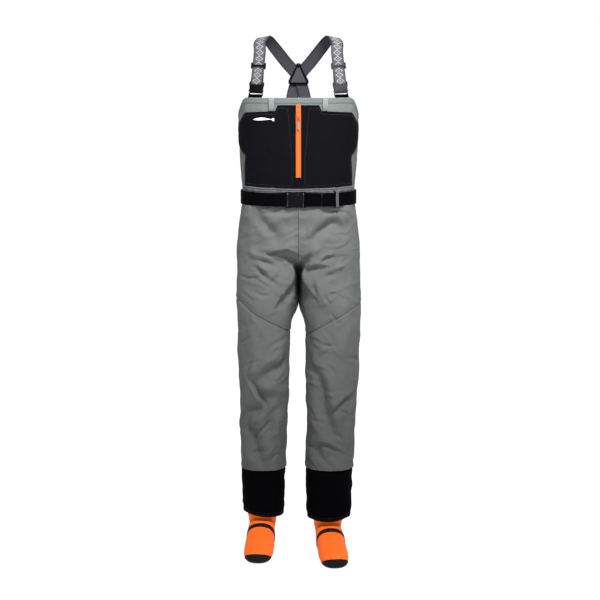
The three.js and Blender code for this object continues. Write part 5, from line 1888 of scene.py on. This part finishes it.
def make_strap(side):
    """A suspender: the patterned front strap, its folded end and the elastic back strap."""
    k = SIDES[side]
    mirror = np.array([k, 1, 1])
    rotation = turned(STRAP_LEAN, -k * STRAP_ROLL, k * STRAP_YAW)
    origin = np.array(STRAP_FOOT) * mirror
    front = in_frame(rotation, origin, (0, -1, 0), True)

    heights = np.linspace(STRAP_END - 5, STRAP_BEND, 5)
    straight = in_frame(rotation, origin, [(0, 0, h) for h in heights])
    crown = np.array([p for p, _ in CROWN_ROUTE]) * mirror
    crown_out = np.array([n for _, n in CROWN_ROUTE]) * mirror
    path, outs = route(np.concatenate([straight, crown]), np.concatenate([np.tile(front, (5, 1)), crown_out]))
    strap = ribbon(f"{side}_front_webbing", path, outs, STRAP_WEBBING, WEBBING_THICK, MAT["strap"], 0.3, 7)
    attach(strap, "shell")
    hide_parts(f"{side}_front_strap")

    end = loop_piece(f"{side}_strap_fold", rotation, origin, FEMALE_BEND, STRAP_END - FEMALE_BEND,
                     STRAP_WEBBING, MAT["strap"])
    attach(end, "shell")
    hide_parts(f"{side}_strap_end")
    anchor = in_frame(rotation, origin, (0, 0, STRAP_END))
    tuple(to_row(anchor))
    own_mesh(end)

    points = np.array([p for p, _ in BACK_ROUTE], float) * mirror
    outs = np.array([n for _, n in BACK_ROUTE], float) * mirror
    path, outs = route(points, outs)
    share = np.linspace(0, 1, len(path))
    over = 3 * smooth(share / 0.3) if side == "left" else 0 * share
    path = path + over[:, None] * outs
    elastic = ribbon(f"{side}_back_elastic", path, outs, STRAP_WEBBING, WEBBING_THICK, MAT["elastic"], 0.3, 8)
    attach(elastic, "shell")
    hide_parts(f"{side}_back_strap")
    make_tab(side, rotation, origin, front)
    _, across, out = frame_along(path, outs)
    flat_stitches(f"{side}_elastic_stitches", path[-11] + 1.1 * out[-11], across[-6], path_down(path),
                  out[-6], 12.5, 24, MAT["dark_thread"], "shell")


def path_down(path):
    step = path[-1] - path[-10]
    return step / np.linalg.norm(step)


def make_tab(side, rotation, origin, front):
    """The black tab that holds the strap buckle's male half, sewn inside the top hem."""
    bar = in_frame(rotation, origin, (0, 0, MALE_BAR))
    flat = np.array([front[0], front[1], 0])
    flat /= np.linalg.norm(flat)
    angle = math.atan2(bar[1], bar[0])
    for _ in range(3):
        z = 1330.0
        p, _ = bib_at(np.array([angle]), np.array([z]))
        angle += (math.atan2(bar[1], bar[0]) - math.atan2(p[0, 1], p[0, 0]))
    radius = LOOP_CLEAR + 0.6 + WEBBING_THICK / 2
    low = 1306.0
    foot, foot_out = bib_at(np.array([angle] * 2), np.array([1322.0, low]))
    foot = foot - 4.6 * foot_out
    turn = np.linspace(0, math.pi, 9)[1:-1]
    arc = [bar + radius * (math.cos(a) * flat + math.sin(a) * np.array([0, 0, 1])) for a in turn]
    arc_out = [math.cos(a) * flat + math.sin(a) * np.array([0, 0, 1]) for a in turn]
    points = [foot[1], foot[0], bar + radius * flat, *arc, bar - radius * flat,
              foot[0] - 2.2 * foot_out[0], foot[1] - 2.2 * foot_out[1]]
    outs = [foot_out[1], foot_out[0], flat, *arc_out, -flat, -foot_out[0], -foot_out[1]]
    path, outs = route(points, outs, 1.5)
    tab = ribbon(f"{side}_buckle_tab", path, outs, STRAP_WEBBING, WEBBING_THICK, MAT["webbing"])
    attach(tab, "shell")
    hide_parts(f"{side}_front_tab")


for side_name in SIDES:
    make_strap(side_name)

def make_cross_fill():
    """Leather-like fill inside the cross piece's two triangular rims."""
    corners = np.array([(-21.8, -14.8), (21.8, -14.8), (22.3, -12), (2.9, 29.8), (-2.9, 29.8), (-22.3, -12)])
    turn = turned(13 * DEGREE)
    origin = np.array([0, 97.5, 1390])
    for name, y in (("near", -6.4), ("far", 8.0)):
        vertices = [(x, y + d, z) for d in (-0.5, 0.5) for x, z in corners]
        n = len(corners)
        faces = [list(range(n))[::-1], list(range(n, 2 * n))]
        faces += [[i, (i + 1) % n, n + (i + 1) % n, n + i] for i in range(n)]
        placed = in_frame(turn, origin, vertices)
        fill = make_object(f"cross_fill_{name}", placed, faces, MAT["fill"], crease=20)
        bm = bmesh.new()
        bm.from_mesh(fill.data)
        bmesh.ops.recalc_face_normals(bm, faces=bm.faces)
        bm.to_mesh(fill.data)
        bm.free()
        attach(fill, "shell")


make_cross_fill()

# ------------------------------------------------------------------ moulded hardware

def soften(node, material, width=0.45, segments=3):
    """Rounds a moulded node's edges and gives it its material."""
    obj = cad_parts[node]
    obj.data.materials.clear()
    obj.data.materials.append(material)
    weld = obj.modifiers.new("weld", "WELD")
    weld.merge_threshold = 0.00002
    bevel = obj.modifiers.new("bevel", "BEVEL")
    bevel.width = width / 1000
    bevel.segments = segments
    bevel.limit_method = "ANGLE"
    bevel.angle_limit = 30 * DEGREE
    bevel.harden_normals = False
    obj.data.polygons.foreach_set("use_smooth", [True] * len(obj.data.polygons))
    obj.data.set_sharp_from_angle(angle=35 * DEGREE)


for name in ("belt_buckle_male", "belt_buckle_female", "belt_lower_prong", "belt_upper_prong", "back_cross"):
    soften(name, MAT["hardware"])
for side_name in SIDES:
    colour = "hardware" if side_name == "right" else "hardware_grey"
    for part in ("buckle_male", "buckle_female", "outer_prong", "inner_prong"):
        soften(f"{side_name}_strap_{part}", MAT[colour])
    soften(f"{side_name}_adjuster", MAT[colour])
for name in ("zip_slider", "zip_garage"):
    soften(name, MAT["zip_part"], 0.3)

# ------------------------------------------------------------------ floor, light and camera

def make_floor():
    """A white floor that is bright enough to vanish."""
    mesh = bpy.data.meshes.new("floor")
    half = 60.0
    low = -SHOULDER_HEIGHT / 1000 - 0.0005
    mesh.from_pydata([(-half, -half, low), (half, -half, low), (half, half, low), (-half, half, low)], [],
                     [(0, 1, 2, 3)])
    material = bpy.data.materials.new("floor")
    material.use_nodes = True
    shader = material.node_tree.nodes["Principled BSDF"]
    shader.inputs["Base Color"].default_value = (0.16, 0.16, 0.16, 1)
    shader.inputs["Roughness"].default_value = 0.9
    shader.inputs["Specular IOR Level"].default_value = 0.1
    shader.inputs["Emission Color"].default_value = (1, 1, 1, 1)
    shader.inputs["Emission Strength"].default_value = 1.0
    mesh.materials.append(material)
    floor = bpy.data.objects.new("floor", mesh)
    bpy.context.scene.collection.objects.link(floor)


def make_world():
    """White near the horizon and dim overhead, so that light falls from the lamps."""
    world = bpy.data.worlds.new("studio")
    world.use_nodes = True
    tree = world.node_tree
    background = tree.nodes["Background"]
    coordinates = tree.nodes.new("ShaderNodeTexCoord")
    split = tree.nodes.new("ShaderNodeSeparateXYZ")
    tree.links.new(coordinates.outputs["Generated"], split.inputs[0])
    ramp = tree.nodes.new("ShaderNodeMapRange")
    ramp.interpolation_type = "SMOOTHSTEP"
    ramp.inputs["From Min"].default_value = 0.17
    ramp.inputs["From Max"].default_value = 0.45
    ramp.inputs["To Min"].default_value = 1.0
    ramp.inputs["To Max"].default_value = 0.12
    tree.links.new(split.outputs[2], ramp.inputs["Value"])
    tree.links.new(ramp.outputs[0], background.inputs["Strength"])
    background.inputs["Color"].default_value = (1, 1, 1, 1)
    bpy.context.scene.world = world


def make_light(name, kind, energy, place, aim, **settings):
    light = bpy.data.lights.new(name, kind)
    light.energy = energy
    for key, value in settings.items():
        setattr(light, key, value)
    obj = bpy.data.objects.new(name, light)
    obj.location = place
    obj.rotation_euler = (Vector(aim) - Vector(place)).to_track_quat("-Z", "Y").to_euler()
    bpy.context.scene.collection.objects.link(obj)


def make_camera():
    """A long lens a little above the chest, aimed down at the knees."""
    camera = bpy.data.cameras.new("camera")
    camera.lens = 104.5
    camera.sensor_width = 36
    obj = bpy.data.objects.new("camera", camera)
    obj.location = (0.0044, -5.0, -0.030)
    obj.rotation_euler = (math.radians(81.8), 0, 0)
    bpy.context.scene.collection.objects.link(obj)
    bpy.context.scene.camera = obj


make_floor()
make_world()
make_light("key", "AREA", 82, (0.28, -1.35, 1.05), (0, 0, -0.6), shape="RECTANGLE", size=0.6, size_y=0.4)
make_light("back", "AREA", 40, (0.8, 1.9, 1.3), (0, 0, -0.5), shape="RECTANGLE", size=1.2, size_y=0.8)
make_camera()
bpy.context.scene.view_settings.view_transform = "Standard"
